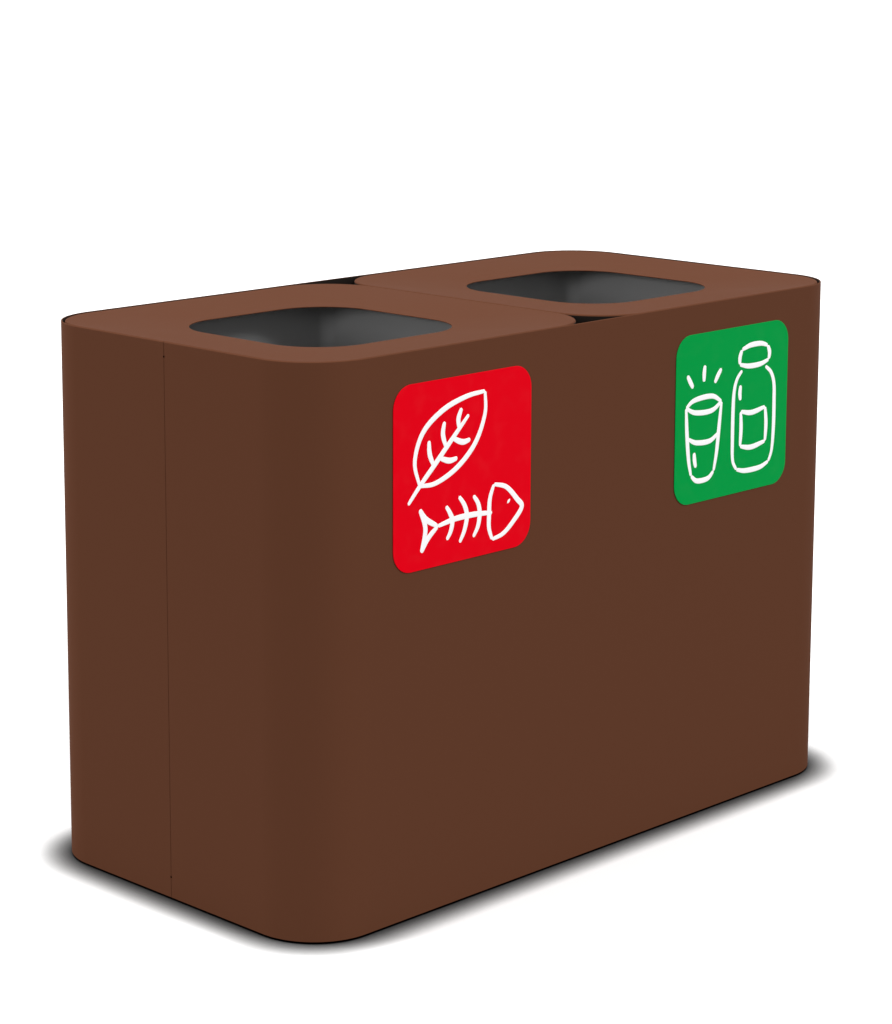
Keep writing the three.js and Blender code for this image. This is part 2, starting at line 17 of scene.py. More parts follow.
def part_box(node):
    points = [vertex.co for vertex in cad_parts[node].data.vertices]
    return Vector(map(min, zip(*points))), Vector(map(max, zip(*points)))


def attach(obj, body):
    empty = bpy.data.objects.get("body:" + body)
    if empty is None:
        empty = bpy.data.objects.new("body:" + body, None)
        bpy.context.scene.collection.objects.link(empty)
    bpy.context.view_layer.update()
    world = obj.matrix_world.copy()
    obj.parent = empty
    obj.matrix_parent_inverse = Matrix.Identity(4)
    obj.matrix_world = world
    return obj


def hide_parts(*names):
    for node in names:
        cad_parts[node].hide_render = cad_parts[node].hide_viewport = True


bl_info = {
    "name": "Double Recycling Bin",
    "version": (1, 0, 0),
    "blender": (4, 5, 0),
    "location": "3D View > Sidebar > Recycling Bin",
    "description": "Builds a double recycling bin of coated sheet steel with lift-off lids and liners",
    "category": "Object",
}

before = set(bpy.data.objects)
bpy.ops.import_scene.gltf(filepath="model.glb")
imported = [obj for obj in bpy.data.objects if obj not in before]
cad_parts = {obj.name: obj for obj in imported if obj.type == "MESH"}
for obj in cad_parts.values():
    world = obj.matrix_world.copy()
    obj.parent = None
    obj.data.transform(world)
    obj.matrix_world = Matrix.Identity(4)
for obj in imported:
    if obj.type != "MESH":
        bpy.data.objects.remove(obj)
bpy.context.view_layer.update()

MM = 0.001
SIDES = ("left", "right")
WELD = 0.001 * MM  # points nearer than this are one

SHELL_LOW, SHELL_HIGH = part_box("shell_front")
LID_BOX = {side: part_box(f"lid_{side}") for side in SIDES}
LINER_BOX = {side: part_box(f"liner_{side}") for side in SIDES}
SIGN_BOX = {"red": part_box("label_red"), "green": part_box("label_green")}


# ---------------------------------------------------------------- settings


def length(name, description, default):
    """A length in metres that shows in the scene's units."""
    return FloatProperty(
        name=name, description=description, default=default, min=0, unit="LENGTH", precision=5
    )


def color(name, description, default):
    """A linear colour with a picker."""
    return FloatVectorProperty(
        name=name, description=description, default=default, size=3, min=0, max=1, subtype="COLOR"
    )


def share(name, description, default, high=1.0):
    """A plain share, or a level where high is above 1."""
    return FloatProperty(name=name, description=description, default=default, min=0, max=high)


def steps(name, description, default):
    """A number of facets."""
    return IntProperty(name=name, description=description, default=default, min=2, max=64)


def bearing(name, description, degrees):
    """An angle of the camera, given in degrees."""
    return FloatProperty(
        name=name, description=description, default=math.radians(degrees), unit="ROTATION"
    )


class ShellSizes(PropertyGroup):
    """Half wraps"""

    sheet: length("Sheet", "Thickness of the half wraps", 1.5 * MM)
    corner: length("Corner radius", "Outside radius of the upright corners", 62 * MM)
    flange: length("Joint flange", "Reach of a joint flange from the outside of the wall", 16 * MM)
    bend: length("Joint bend", "Outside radius of the bend into a joint flange", 0.6 * MM)
    inner_bend: length("Inner joint bend", "Inside radius of the bend into a joint flange", 0.5 * MM)
    seam_gap: length("Seam gap", "Gap between the joint flanges under the coat", 0.12 * MM)
    butt_gap: length("Butt gap", "Gap between the plain edges above and below the reliefs", 0.3 * MM)
    relief: length("Relief radius", "Radius of the bend reliefs", 1.2 * MM)
    relief_below_rim: length("Relief below rim", "Middle of the upper reliefs below the rim", 13 * MM)
    relief_above_edge: length("Relief above edge", "Middle of the lower reliefs above the edge", 19 * MM)
    edge: length("Edge rounding", "Radius on the edges of the sheet under the coat", 0.3 * MM)
    rim_edge: length("Rim rounding", "Radius on the edges of the rim", 0.7 * MM)
    corner_steps: steps("Corner steps", "Facets in each upright corner", 28)


class LidSizes(PropertyGroup):
    """Lids"""

    sheet: length("Sheet", "Thickness of the lids", 1 * MM)
    corner: length("Corner radius", "Outside radius of the lid's corners", 58.5 * MM)
    bend: length("Bend", "Outside radius of the bend into the skirt", 1.5 * MM)
    fall: length("Fall", "Fall of the plate from the edge to the opening", 6 * MM)
    opening: length("Opening", "Width of the opening", 200 * MM)
    opening_corner: length("Opening corner", "Corner radius of the opening", 56 * MM)
    corner_steps: steps("Corner steps", "Facets in each corner", 24)
    bend_steps: steps("Bend steps", "Facets across each bend", 6)


class LinerSizes(PropertyGroup):
    """Liners"""

    sheet: length("Sheet", "Thickness of the liners", 1 * MM)
    draft: length("Draft", "How far each wall leans in from rim to floor", 10 * MM)
    corner: length("Corner radius", "Radius of the upright corners", 14 * MM)
    floor_bend: length("Floor bend", "Outside radius between floor and walls", 4 * MM)
    bead: length("Bead", "Radius of the rolled rim", 2.5 * MM)
    corner_steps: steps("Corner steps", "Facets in each corner", 12)
    bend_steps: steps("Bend steps", "Facets across each bend", 6)


class SignSizes(PropertyGroup):
    """Signs"""

    corner: length("Corner radius", "Radius of the plate's corners", 21 * MM)
    edge: length("Edge rounding", "Radius on the edges of the plate", 0.2 * MM)
    print_depth: length("Print depth", "How far the print stands on the plate", 0.08 * MM)
    stroke: length("Stroke", "Width of a brush stroke in its middle", 5.3 * MM)
    tip: share("Stroke tip", "Width near the ends of a stroke, as a share of its middle", 0.6)
    corner_steps: steps("Corner steps", "Facets in each corner", 16)


class SmallPartSizes(PropertyGroup):
    """Folded parts, rivets and rubber parts"""

    fold_edge: length("Fold edge", "Radius on the edges of the folded inner parts", 0.35 * MM)
    rivet_shank: length("Rivet shank", "Radius of a rivet's shank", 2 * MM)
    rivet_head: length("Rivet head", "Radius of a rivet's head", 4 * MM)
    rivet_rise: length("Rivet rise", "Height of a rivet's head", 1.6 * MM)
    mandrel: length("Mandrel", "Radius of the broken mandrel in a rivet's head", 1.1 * MM)
    foot_stem: length("Foot stem", "Radius of a foot's stem", 4.5 * MM)
    foot_barb: length("Foot barb", "Radius of the barb on a foot's stem", 6.5 * MM)
    foot_barb_height: length("Foot barb height", "Height of the barb on a foot's stem", 3 * MM)
    foot_pad: length("Foot pad", "Height of a foot's pad", 3.7 * MM)
    foot_rounding: length("Foot rounding", "Radius on the edge of a foot's pad", 0.9 * MM)
    buffer_stem: length("Buffer stem", "Radius of a lid buffer's stem", 2 * MM)
    buffer_barb: length("Buffer barb", "Radius of the barb on a buffer's stem", 3 * MM)
    buffer_barb_height: length("Buffer barb height", "Height of the barb on a buffer's stem", 2 * MM)
    buffer_pad: length("Buffer pad", "Height of a buffer's pad", 2 * MM)
    buffer_rounding: length("Buffer rounding", "Radius on the edge of a buffer's pad", 0.5 * MM)
    round_steps: steps("Round steps", "Facets in each quarter turn", 7)


class Finishes(PropertyGroup):
    """Finishes"""

    brown: color("Brown coat", "Powder coat of the half wraps and the lids", (0.1040, 0.0392, 0.0205))
    # The black coat is the inner parts' own finish. Its warm tint, and its use on the inner skins of the
    # half wraps and on the lid skirts, are painted shade.
    black: color("Black coat", "Powder coat of inner parts and inner faces", (0.0105, 0.0075, 0.0060))
    grey: color("Grey coat", "Powder coat of the liners", (0.29, 0.29, 0.29))
    zinc: color("Zinc", "Plating of the rivets", (0.55, 0.56, 0.57))
    rubber: color("Rubber", "Feet and lid buffers", (0.014, 0.014, 0.014))
    red: color("Red plate", "Sign of the left compartment", (0.745, 0.0005, 0.0085))
    green: color("Green plate", "Sign of the right compartment", (0.0, 0.295, 0.052))
    white: color("White print", "Pictograms", (0.97, 0.97, 0.97))
    grain_pitch: length("Grain pitch", "Size of the dimples in the powder coat", 1.1 * MM)
    grain_depth: length("Grain depth", "Depth of the dimples in the powder coat", 0.012 * MM)
    gloss_drift: share("Gloss drift", "How unevenly the powder coat shines", 0.12)


class StudioSettings(PropertyGroup):
    """Stage and camera"""

    overhead: share("Overhead lamp", "Level of the lamp above", 0.19, 10)
    front: share("Front lamp", "Level of the lamp in front", 0.66, 10)
    side: share("Side lamp", "Level of the lamp on the left, towards the back", 0.65, 10)
    low_side: share(
        "Low side lamp", "Level of the low lamp on the left that reaches under the lids", 0.20, 10
    )
    low_front: share(
        "Low front lamp", "Level of the low lamp in front that reaches under the lids", 0.035, 10
    )
    sky: share("Sky", "Level of the even light from all round", 0.60, 10)
    floor_bounce: share("Floor bounce", "Share of its light that the floor throws back", 0.1)
    floor_white: share("Floor white", "How pale the floor shows", 1.0)
    floor_reach: length("Floor reach", "Half the width of the floor", 40.0)
    # Reach and depth of the painted contact shadow in the floor's colour.
    contact: length("Contact shadow", "Reach of the dark line round the foot of the bin", 35 * MM)
    contact_depth: share("Contact depth", "How steeply the dark line deepens", 4.3, 10)
    lens: FloatProperty(
        name="Lens", description="Focal length of the camera", default=94.039, unit="CAMERA"
    )
    shift_x: FloatProperty(
        name="Shift X", description="Sideways shift of the camera's frame", default=0.0596
    )
    shift_y: FloatProperty(
        name="Shift Y", description="Upward shift of the camera's frame", default=-0.1436
    )
    place: FloatVectorProperty(
        name="Camera",
        description="Where the camera stands",
        default=(-1.8142, -1.7345, 0.8664),
        size=3,
        subtype="XYZ",
        unit="LENGTH",
    )
    heading: bearing("Heading", "Direction of view, clockwise from +Y as seen from above", 44.6733)
    pitch: bearing("Pitch", "How far the camera looks down", 9.7350)


# ---------------------------------------------------------------- node helpers


class Tree:
    """A node tree under construction. Sockets and plain values mix freely in its calls."""

    def __init__(self, tree):
        self.tree = tree

    @classmethod
    def new(cls, name, kind):
        return cls(bpy.data.node_groups.new(name, kind))

    def socket(self, name, kind, into=True, default=None):
        """Gives the group an input, or an output."""
        made = self.tree.interface.new_socket(
            name=name, in_out="INPUT" if into else "OUTPUT", socket_type=f"NodeSocket{kind}"
        )
        if default is not None:
            made.default_value = default

    def add(self, kind, inputs=None, **settings):
        """A node of that kind. Its inputs are named, or numbered where names repeat."""
        node = self.tree.nodes.new(kind)
        for name, value in settings.items():
            setattr(node, name, value)
        for key, value in (inputs or {}).items():
            self.feed(node.inputs[key], value)
        return node

    def feed(self, target, value):
        if isinstance(value, bpy.types.NodeSocket):
            self.tree.links.new(value, target)
        else:
            target.default_value = value

    def math(self, operation, *values):
        node = self.add("ShaderNodeMath", operation=operation)
        for target, value in zip(node.inputs, values):
            self.feed(target, value)
        return node.outputs[0]

    def surface_place(self):
        """The place on the piece, which its textures follow."""
        return self.add("ShaderNodeTexCoord").outputs["Object"]

    def noise(self, where, scale, detail):
        """Noise from 0 to 1, with that many lumps to the metre."""
        texture = self.add("ShaderNodeTexNoise", {"Vector": where, "Scale": scale, "Detail": detail})
        return texture.outputs["Fac"]

    def toned(self, color, tone):
        """The colour times a tone about 1."""
        return self.add("ShaderNodeVectorMath", {0: color, 1: tone}, operation="MULTIPLY").outputs[0]


def modifier_input(modifier, name, value):
    """Sets a Geometry Nodes input by the identifier of the socket with that name."""
    for item in modifier.node_group.interface.items_tree:
        if item.item_type == "SOCKET" and item.in_out == "INPUT" and item.name == name:
            modifier[item.identifier] = value
            return
    raise KeyError(f"{modifier.node_group.name} has no input named {name}")


def run_tree(source, tree, name, **inputs):
    """The plain mesh that a Geometry Nodes tree makes of an object. The source object goes."""
    modifier = source.modifiers.new(tree.name, "NODES")
    modifier.node_group = tree
    for key, value in inputs.items():
        modifier_input(modifier, key.replace("_", " ").capitalize(), value)
    graph = bpy.context.evaluated_depsgraph_get()
    mesh = bpy.data.meshes.new_from_object(
        source.evaluated_get(graph), preserve_all_data_layers=True, depsgraph=graph
    )
    source.modifiers.remove(modifier)
    bpy.data.objects.remove(source)
    mesh.name = name
    only_material(mesh, inputs["material"])
    return mesh


def only_material(mesh, material):
    """Leaves that material alone on the mesh, without the empty slots that a tree adds."""
    mesh.materials.clear()
    mesh.materials.append(material)
    mesh.polygons.foreach_set("material_index", [0] * len(mesh.polygons))


def ready_tree(name, build):
    """The Geometry Nodes tree with that name, built on first use."""
    found = bpy.data.node_groups.get(name)
    if found:
        return found
    tree = Tree.new(name, "GeometryNodeTree")
    tree.socket("Geometry", "Geometry")
    tree.socket("Geometry", "Geometry", into=False)
    made = build(tree)
    tree.add("NodeGroupOutput", {0: made})
    return tree.tree


def build_loft(tree):
    """Skins rounded squares. Each vertex of the source is a ring: the place of its +X +Y corner before
    rounding, with the corner's radius in the attribute corner_radius."""
    tree.socket("Corner steps", "Int", default=8)
    tree.socket("Material", "Material")
    given = tree.add("NodeGroupInput").outputs
    rings = tree.add(
        "GeometryNodeAttributeDomainSize", {"Geometry": given["Geometry"]}, component="MESH"
    ).outputs["Point Count"]
    corner_steps = given["Corner steps"]
    per_corner = tree.math("ADD", corner_steps, 1.0)
    around = tree.math("MULTIPLY_ADD", per_corner, 4.0, 1.0)
    grid = tree.add("GeometryNodeMeshGrid", {"Vertices X": rings, "Vertices Y": around})

    index = tree.add("GeometryNodeInputIndex").outputs[0]
    middle = tree.math("ADD", index, 0.5)
    ring = tree.math("FLOOR", tree.math("DIVIDE", middle, around))
    along = tree.math("SUBTRACT", middle, tree.math("MULTIPLY", ring, around))
    corner = tree.math("FLOOR", tree.math("DIVIDE", along, per_corner))
    before_corner = tree.math("MULTIPLY", corner, per_corner)
    step = tree.math("SUBTRACT", tree.math("SUBTRACT", along, 0.5), before_corner)
    turned_share = tree.math("DIVIDE", step, corner_steps)
    quarter = math.pi / 2
    angle = tree.math("MULTIPLY", tree.math("ADD", corner, turned_share), quarter)
    bisector = tree.math("MULTIPLY", tree.math("ADD", corner, 0.5), quarter)

    def sampled(kind, value):
        return tree.add(
            "GeometryNodeSampleIndex",
            {"Geometry": given["Geometry"], "Value": value, "Index": ring},
            data_type=kind,
            domain="POINT",
        ).outputs["Value"]

    place = sampled("FLOAT_VECTOR", tree.add("GeometryNodeInputPosition").outputs[0])
    radius_attribute = tree.add(
        "GeometryNodeInputNamedAttribute", {"Name": "corner_radius"}, data_type="FLOAT"
    )
    radius = sampled("FLOAT", radius_attribute.outputs["Attribute"])
    half_x, half_y, level = tree.add("ShaderNodeSeparateXYZ", {0: place}).outputs

    def across(half, turn):
        centre = tree.math("SUBTRACT", half, radius)
        signed = tree.math("MULTIPLY", centre, tree.math("SIGN", tree.math(turn, bisector)))
        return tree.math("MULTIPLY_ADD", radius, tree.math(turn, angle), signed)

    position = tree.add(
        "ShaderNodeCombineXYZ", {0: across(half_x, "COSINE"), 1: across(half_y, "SINE"), 2: level}
    )
    placed = tree.add(
        "GeometryNodeSetPosition", {"Geometry": grid.outputs["Mesh"], "Position": position.outputs[0]}
    )
    closed = tree.add("GeometryNodeMergeByDistance", {"Geometry": placed.outputs[0], "Distance": 2 * WELD})
    return finish_tree(tree, closed.outputs[0], given["Material"])


def build_copies(tree):
    """Sets a piece on each vertex of the source, turned the same way."""
    tree.socket("Piece", "Object")
    tree.socket("Turn", "Rotation")
    tree.socket("Material", "Material")
    given = tree.add("NodeGroupInput").outputs
    piece = tree.add("GeometryNodeObjectInfo", {"Object": given["Piece"]})
    copies = tree.add(
        "GeometryNodeInstanceOnPoints",
        {"Points": given["Geometry"], "Instance": piece.outputs["Geometry"], "Rotation": given["Turn"]},
    )
    return finish_tree(tree, copies.outputs[0], given["Material"])


def build_strokes(tree):
    """Turns each curve of the source, drawn in the XZ plane, into a flat brush stroke with round ends."""
    tree.socket("Width", "Float", default=0.0045)
    tree.socket("Depth", "Float", default=0.0001)
    tree.socket("Tip", "Float", default=0.5)
    tree.socket("Material", "Material")
    given = tree.add("NodeGroupInput").outputs
    ring_pitch = 0.7 * MM
    fine = tree.add(
        "GeometryNodeResampleCurve", {"Curve": given["Geometry"], "Length": ring_pitch}, mode="LENGTH"
    )
    parameter = tree.add("GeometryNodeSplineParameter").outputs
    whole = tree.add("GeometryNodeSplineLength").outputs["Length"]
    half = tree.math("MULTIPLY", given["Width"], 0.5)
    wave = tree.math("SINE", tree.math("MULTIPLY", parameter["Factor"], math.pi))
    fullness = 0.7  # the lower, the sooner a stroke reaches its full width
    swell = tree.math("POWER", wave, fullness)
    body = tree.math("MULTIPLY_ADD", swell, tree.math("SUBTRACT", 1.0, given["Tip"]), given["Tip"])
    to_end = tree.math("MINIMUM", parameter["Length"], tree.math("SUBTRACT", whole, parameter["Length"]))
    cap = tree.math("MULTIPLY", half, given["Tip"])
    inside = tree.math("MINIMUM", tree.math("DIVIDE", to_end, cap), 1.0)
    rest = tree.math("SUBTRACT", 1.0, inside)
    under_root = tree.math("MULTIPLY_ADD", tree.math("MULTIPLY", rest, rest), -1.0, 1.0)
    smallest = 0.002  # keeps the last ring from closing to a point
    dome = tree.math("SQRT", tree.math("MAXIMUM", under_root, smallest))
    radius = tree.math("MULTIPLY", tree.math("MULTIPLY", half, body), dome)
    sized = tree.add("GeometryNodeSetCurveRadius", {"Curve": fine.outputs[0], "Radius": radius})
    ring_facets = 12
    circle = tree.add("GeometryNodeCurvePrimitiveCircle", {"Resolution": ring_facets, "Radius": 1.0})
    swept = tree.add(
        "GeometryNodeCurveToMesh",
        {
            "Curve": sized.outputs[0],
            "Profile Curve": circle.outputs[0],
            "Scale": tree.add("GeometryNodeInputRadius").outputs[0],
            "Fill Caps": True,
        },
    )
    position = tree.add("ShaderNodeSeparateXYZ", {0: tree.add("GeometryNodeInputPosition").outputs[0]})
    flatness = tree.math("DIVIDE", given["Depth"], half)
    flat = tree.add(
        "ShaderNodeCombineXYZ",
        {
            0: position.outputs[0],
            1: tree.math("MULTIPLY", position.outputs[1], flatness),
            2: position.outputs[2],
        },
    )
    pressed = tree.add(
        "GeometryNodeSetPosition", {"Geometry": swept.outputs[0], "Position": flat.outputs[0]}
    )
    return finish_tree(tree, pressed.outputs[0], given["Material"])


def finish_tree(tree, geometry, material):
    """Plain geometry with smooth faces and that material."""
    real = tree.add("GeometryNodeRealizeInstances", {0: geometry})
    smooth = tree.add("GeometryNodeSetShadeSmooth", {"Geometry": real.outputs[0], "Shade Smooth": True})
    coated = tree.add("GeometryNodeSetMaterial", {"Geometry": smooth.outputs[0], "Material": material})
    return coated.outputs[0]


# ---------------------------------------------------------------- mesh helpers


def linked(name, data):
    """An object at the origin that shows the data."""
    made = bpy.data.objects.new(name, data)
    bpy.context.scene.collection.objects.link(made)
    return made


def arc(across, up, radius, start, end, count):
    """Points of an arc as (across, up), with its angles in quarter turns."""
    points = []
    for i in range(count + 1):
        angle = (start + (end - start) * i / count) * math.pi / 2
        points.append((across + radius * math.cos(angle), up + radius * math.sin(angle)))
    return points


def ring_source(rings):
    """The rings (half x, half y, corner radius, level) as the source of the loft tree."""
    mesh = bpy.data.meshes.new("rings")
    mesh.from_pydata([(x, y, z) for x, y, _, z in rings], [], [])
    radii = mesh.attributes.new("corner_radius", "FLOAT", "POINT")
    radii.data.foreach_set("value", [ring[2] for ring in rings])
    return linked("rings", mesh)


def lofted(name, rings, corner_steps, material):
    """The closed skin over the rings."""
    tree = ready_tree("Rounded loft", build_loft)
    mesh = run_tree(ring_source(rings), tree, name, corner_steps=corner_steps, material=material)
    face_outwards(mesh)
    return mesh


def turned(name, profile, round_steps, material):
    """A round piece about the Z axis from (radius, level) points."""
    rings = [(radius, radius, radius, level) for radius, level in profile]
    return lofted(name, rings, round_steps, material)


def move_to_middle(mesh, low, high):
    """Moves a mesh from the origin to the middle of a box, as seen from above."""
    mesh.transform(Matrix.Translation(((low.x + high.x) / 2, (low.y + high.y) / 2, 0)))


def face_outwards(mesh):
    """Merges the doubles, takes out slivers and turns every face outwards."""
    work = bmesh.new()
    work.from_mesh(mesh)
    bmesh.ops.remove_doubles(work, verts=work.verts, dist=WELD)
    bmesh.ops.dissolve_degenerate(work, edges=work.edges, dist=WELD / 10)
    bmesh.ops.recalc_face_normals(work, faces=work.faces)
    work.to_mesh(mesh)
    work.free()
    if len(mesh.polygons) == 0:
        raise RuntimeError(f"{mesh.name} has no faces")


def even_shading(piece, sharp_from=35.0):
    """Keeps flats flat and bends smooth, with hard edges only where faces meet steeply."""
    for polygon in piece.data.polygons:
        polygon.use_smooth = True
    piece.data.set_sharp_from_angle(angle=math.radians(sharp_from))
    weighted = piece.modifiers.new("Even shading", "WEIGHTED_NORMAL")
    weighted.keep_sharp = True


def soft_edges(piece, radius, shortest, rim=None):
    """Rounds the hard edges that are longer than the shortest. The small cuts stay as they are.
    A rim, given as its level and radius, can be rounder than the rest."""
    rim_level, widest = rim or (math.inf, radius)
    hard_angle = math.radians(50)
    work = bmesh.new()
    work.from_mesh(piece.data)
    weight = work.edges.layers.float.new("bevel_weight_edge")
    for edge in work.edges:
        hard = edge.is_manifold and edge.calc_face_angle() > hard_angle
        if hard and edge.calc_length() > shortest:
            on_rim = all(abs(vertex.co.z - rim_level) < 0.01 * MM for vertex in edge.verts)
            edge[weight] = 1.0 if on_rim else radius / widest
    work.to_mesh(piece.data)
    work.free()
    bevel = piece.modifiers.new("Coated edges", "BEVEL")
    bevel.width = widest
    bevel.segments = 3 if rim else 2
    bevel.limit_method = "WEIGHT"
    bevel.use_clamp_overlap = False


def hand_over(piece, body, slot, *nodes):
    """Lets a finished piece ride on its body in place of CAD nodes."""
    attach(piece, body)
    if nodes:
        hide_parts(*nodes)


def middle_of(node):
    """The middle of a CAD node's box."""
    low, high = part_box(node)
    return (low + high) / 2


# ---------------------------------------------------------------- finishes


def linear_color(value):
    """The colour with full alpha, as colour sockets take it."""
    return (*value, 1.0)


def ready_effect(name, build):
    """The shader node group with that name, built on first use."""
    found = bpy.data.node_groups.get(name)
    if found:
        return found
    tree = Tree.new(name, "ShaderNodeTree")
    build(tree)
    return tree.tree


def build_coat(tree):
    """Colour drift, uneven gloss and orange peel of a powder coat, shared by every coated part."""
    tree.socket("Color", "Color", default=(0.5, 0.5, 0.5, 1.0))
    tree.socket("Drift", "Float", default=0.05)
    tree.socket("Gloss drift", "Float", default=0.05)
    tree.socket("Roughness", "Float", default=0.5)
    tree.socket("Grain pitch", "Float", default=0.001)
    tree.socket("Color", "Color", into=False)
    tree.socket("Roughness", "Float", into=False)
    tree.socket("Height", "Float", into=False)
    given = tree.add("NodeGroupInput").outputs
    where = tree.surface_place()
    frequency = tree.math("DIVIDE", 1.0, given["Grain pitch"])
    peel = tree.noise(where, frequency, 2.0)
    fleck = tree.noise(where, tree.math("MULTIPLY", frequency, 2.3), 1.0)  # finer than the peel
    cloud = tree.noise(where, 5.0, 4.0)  # as broad as a hand

    def around_one(value, amount):
        centred = tree.math("SUBTRACT", value, 0.5)
        return tree.math("MULTIPLY_ADD", tree.math("MULTIPLY", centred, 2.0), amount, 1.0)

    drift = given["Drift"]
    shade = tree.math("MULTIPLY", around_one(cloud, drift), around_one(fleck, drift))
    gloss = around_one(cloud, given["Gloss drift"])
    tree.add(
        "NodeGroupOutput",
        {
            "Color": tree.toned(given["Color"], shade),
            "Roughness": tree.math("MULTIPLY", given["Roughness"], gloss),
            "Height": peel,
        },
    )


def build_scuffs(tree):
    """Fine crossed scratches and a thin film of dust, as two masks."""
    tree.socket("Density", "Float", default=0.5)
    tree.socket("Scratches", "Float", into=False)
    tree.socket("Dust", "Float", into=False)
    given = tree.add("NodeGroupInput").outputs
    where = tree.surface_place()

    def lines(turn):
        mapped = tree.add(
            "ShaderNodeMapping", {"Vector": where, "Rotation": turn, "Scale": (12.0, 900.0, 12.0)}
        )
        return tree.noise(mapped.outputs[0], 1.0, 2.0)

    crossed = tree.math("MAXIMUM", lines((0.3, 0.2, 0.5)), lines((0.9, 0.1, 2.1)))
    floor = tree.math("MULTIPLY_ADD", given["Density"], -0.12, 0.78)
    scratches = tree.add(
        "ShaderNodeMapRange", {"Value": crossed, "From Min": floor, "From Max": 0.85}
    )
    dust = tree.noise(where, 60.0, 8.0)
    tree.add("NodeGroupOutput", {"Scratches": scratches.outputs[0], "Dust": dust})


def scuffs(tree):
    """The scratches and the dust in a material."""
    return tree.add("ShaderNodeGroup", node_tree=ready_effect("Scuffs", build_scuffs)).outputs


def new_material(name, roughness=0.5, specular=0.3, metallic=0.0):
    """A material with an empty Principled shader, and its tree."""
    material = bpy.data.materials.new(name)
    material.use_nodes = True
    tree = Tree(material.node_tree)
    shader = material.node_tree.nodes["Principled BSDF"]
    shader.inputs["Roughness"].default_value = roughness
    shader.inputs["Specular IOR Level"].default_value = specular
    shader.inputs["Metallic"].default_value = metallic
    return material, tree, shader


def ready_material(name, build, *values):
    """The material with that name, built on first use."""
    return bpy.data.materials.get(name) or build(name, *values)


def bump(tree, shader, height, distance):
    """Raises the surface by that distance where the height is 1."""
    node = tree.add("ShaderNodeBump", {"Height": height, "Distance": distance, "Strength": 1.0})
    tree.feed(shader.inputs["Normal"], node.outputs[0])


def dusty_color(tree, shader, tint, paler, dust, thin, thick):
    """Fades the colour to a paler one as the dust goes from thin to thick."""
    film = tree.add("ShaderNodeMapRange", {"Value": dust, "From Min": thin, "From Max": thick})
    mixed = tree.add("ShaderNodeMix", {"Factor": film.outputs[0]}, data_type="RGBA")
    color_a, color_b, result = mixed.inputs[6], mixed.inputs[7], mixed.outputs[2]
    tree.feed(color_a, linear_color(tint))
    tree.feed(color_b, linear_color(paler))
    tree.feed(shader.inputs["Base Color"], result)


# The roughness, specular level and colour drift of each powder coat.
COATS = {
    "brown": (0.82, 0.05, 0.03),
    "black": (0.68, 0.15, 0.05),
    "grey": (0.55, 0.3, 0.04),
}


def coat_material(name, tint, roughness, specular, drift):
    """A powder coat of that colour."""
    finishes = bpy.context.scene.bin_finishes
    material, tree, shader = new_material(name, roughness, specular)
    coat = tree.add(
        "ShaderNodeGroup",
        {
            "Color": linear_color(tint),
            "Drift": drift,
            "Gloss drift": finishes.gloss_drift,
            "Roughness": roughness,
            "Grain pitch": finishes.grain_pitch,
        },
        node_tree=ready_effect("Powder coat", build_coat),
    ).outputs
    tree.feed(shader.inputs["Base Color"], coat["Color"])
    tree.feed(shader.inputs["Roughness"], coat["Roughness"])
    bump(tree, shader, coat["Height"], finishes.grain_depth)
    return material


def powder_coat(color_name):
    """The powder coat with that colour's name, built on first use."""
    tint = getattr(bpy.context.scene.bin_finishes, color_name)
    return ready_material(f"{color_name}_powder_coat", coat_material, tint, *COATS[color_name])


def plate_material(name, tint):
    """Semi-gloss printed plate: an even colour, a faint ripple and dust that dulls it here and there."""
    material, tree, shader = new_material(name, roughness=0.5, specular=0.03)
    dust = scuffs(tree)["Dust"]
    paler = tuple(channel + (0.9 - channel) * 0.006 for channel in tint)
    dusty_color(tree, shader, tint, paler, dust, thin=0.5, thick=0.8)
    clean_roughness, dust_roughness = 0.42, 0.16
    roughness = tree.math("MULTIPLY_ADD", dust, dust_roughness, clean_roughness)
    tree.feed(shader.inputs["Roughness"], roughness)
    ripple = tree.noise(tree.surface_place(), 90.0, 1.0)
    bump(tree, shader, ripple, 0.02 * MM)
    return material


def print_material(name, tint):
    """Opaque white screen print with a faint mottle where the ink lies thinner."""
    material, tree, shader = new_material(name, roughness=0.45, specular=0.3)
    ink = tree.noise(tree.surface_place(), 420.0, 3.0)
    tone = tree.math("MULTIPLY_ADD", ink, 0.04, 0.98)
    tree.feed(shader.inputs["Base Color"], tree.toned(tuple(tint), tone))
    bump(tree, shader, ink, 0.01 * MM)
    return material


def zinc_material(name, tint):
    """Zinc plating: bright metal with a fine spangle and scratches."""
    material, tree, shader = new_material(name, roughness=0.35, specular=0.5, metallic=1.0)
    spangle = tree.add("ShaderNodeTexVoronoi", {"Vector": tree.surface_place(), "Scale": 900.0})
    scratches = scuffs(tree)["Scratches"]
    tone = tree.math("MULTIPLY_ADD", spangle.outputs["Distance"], 0.25, 0.85)
    tree.feed(shader.inputs["Base Color"], tree.toned(tuple(tint), tone))
    smooth_roughness, scratch_roughness = 0.3, 0.2
    roughness = tree.math("MULTIPLY_ADD", scratches, scratch_roughness, smooth_roughness)
    tree.feed(shader.inputs["Roughness"], roughness)
    bump(tree, shader, scratches, 0.01 * MM)
    return material


def rubber_material(name, tint):
    """Dull black rubber with a fine moulded grain and pale dust."""
    material, tree, shader = new_material(name, roughness=0.85, specular=0.25)
    dust = scuffs(tree)["Dust"]
    paler = tuple(channel + 0.03 for channel in tint)
    dusty_color(tree, shader, tint, paler, dust, thin=0.45, thick=0.75)
    grain = tree.noise(tree.surface_place(), 1500.0, 3.0)
    bump(tree, shader, grain, 0.05 * MM)
    return material


# ---------------------------------------------------------------- shell


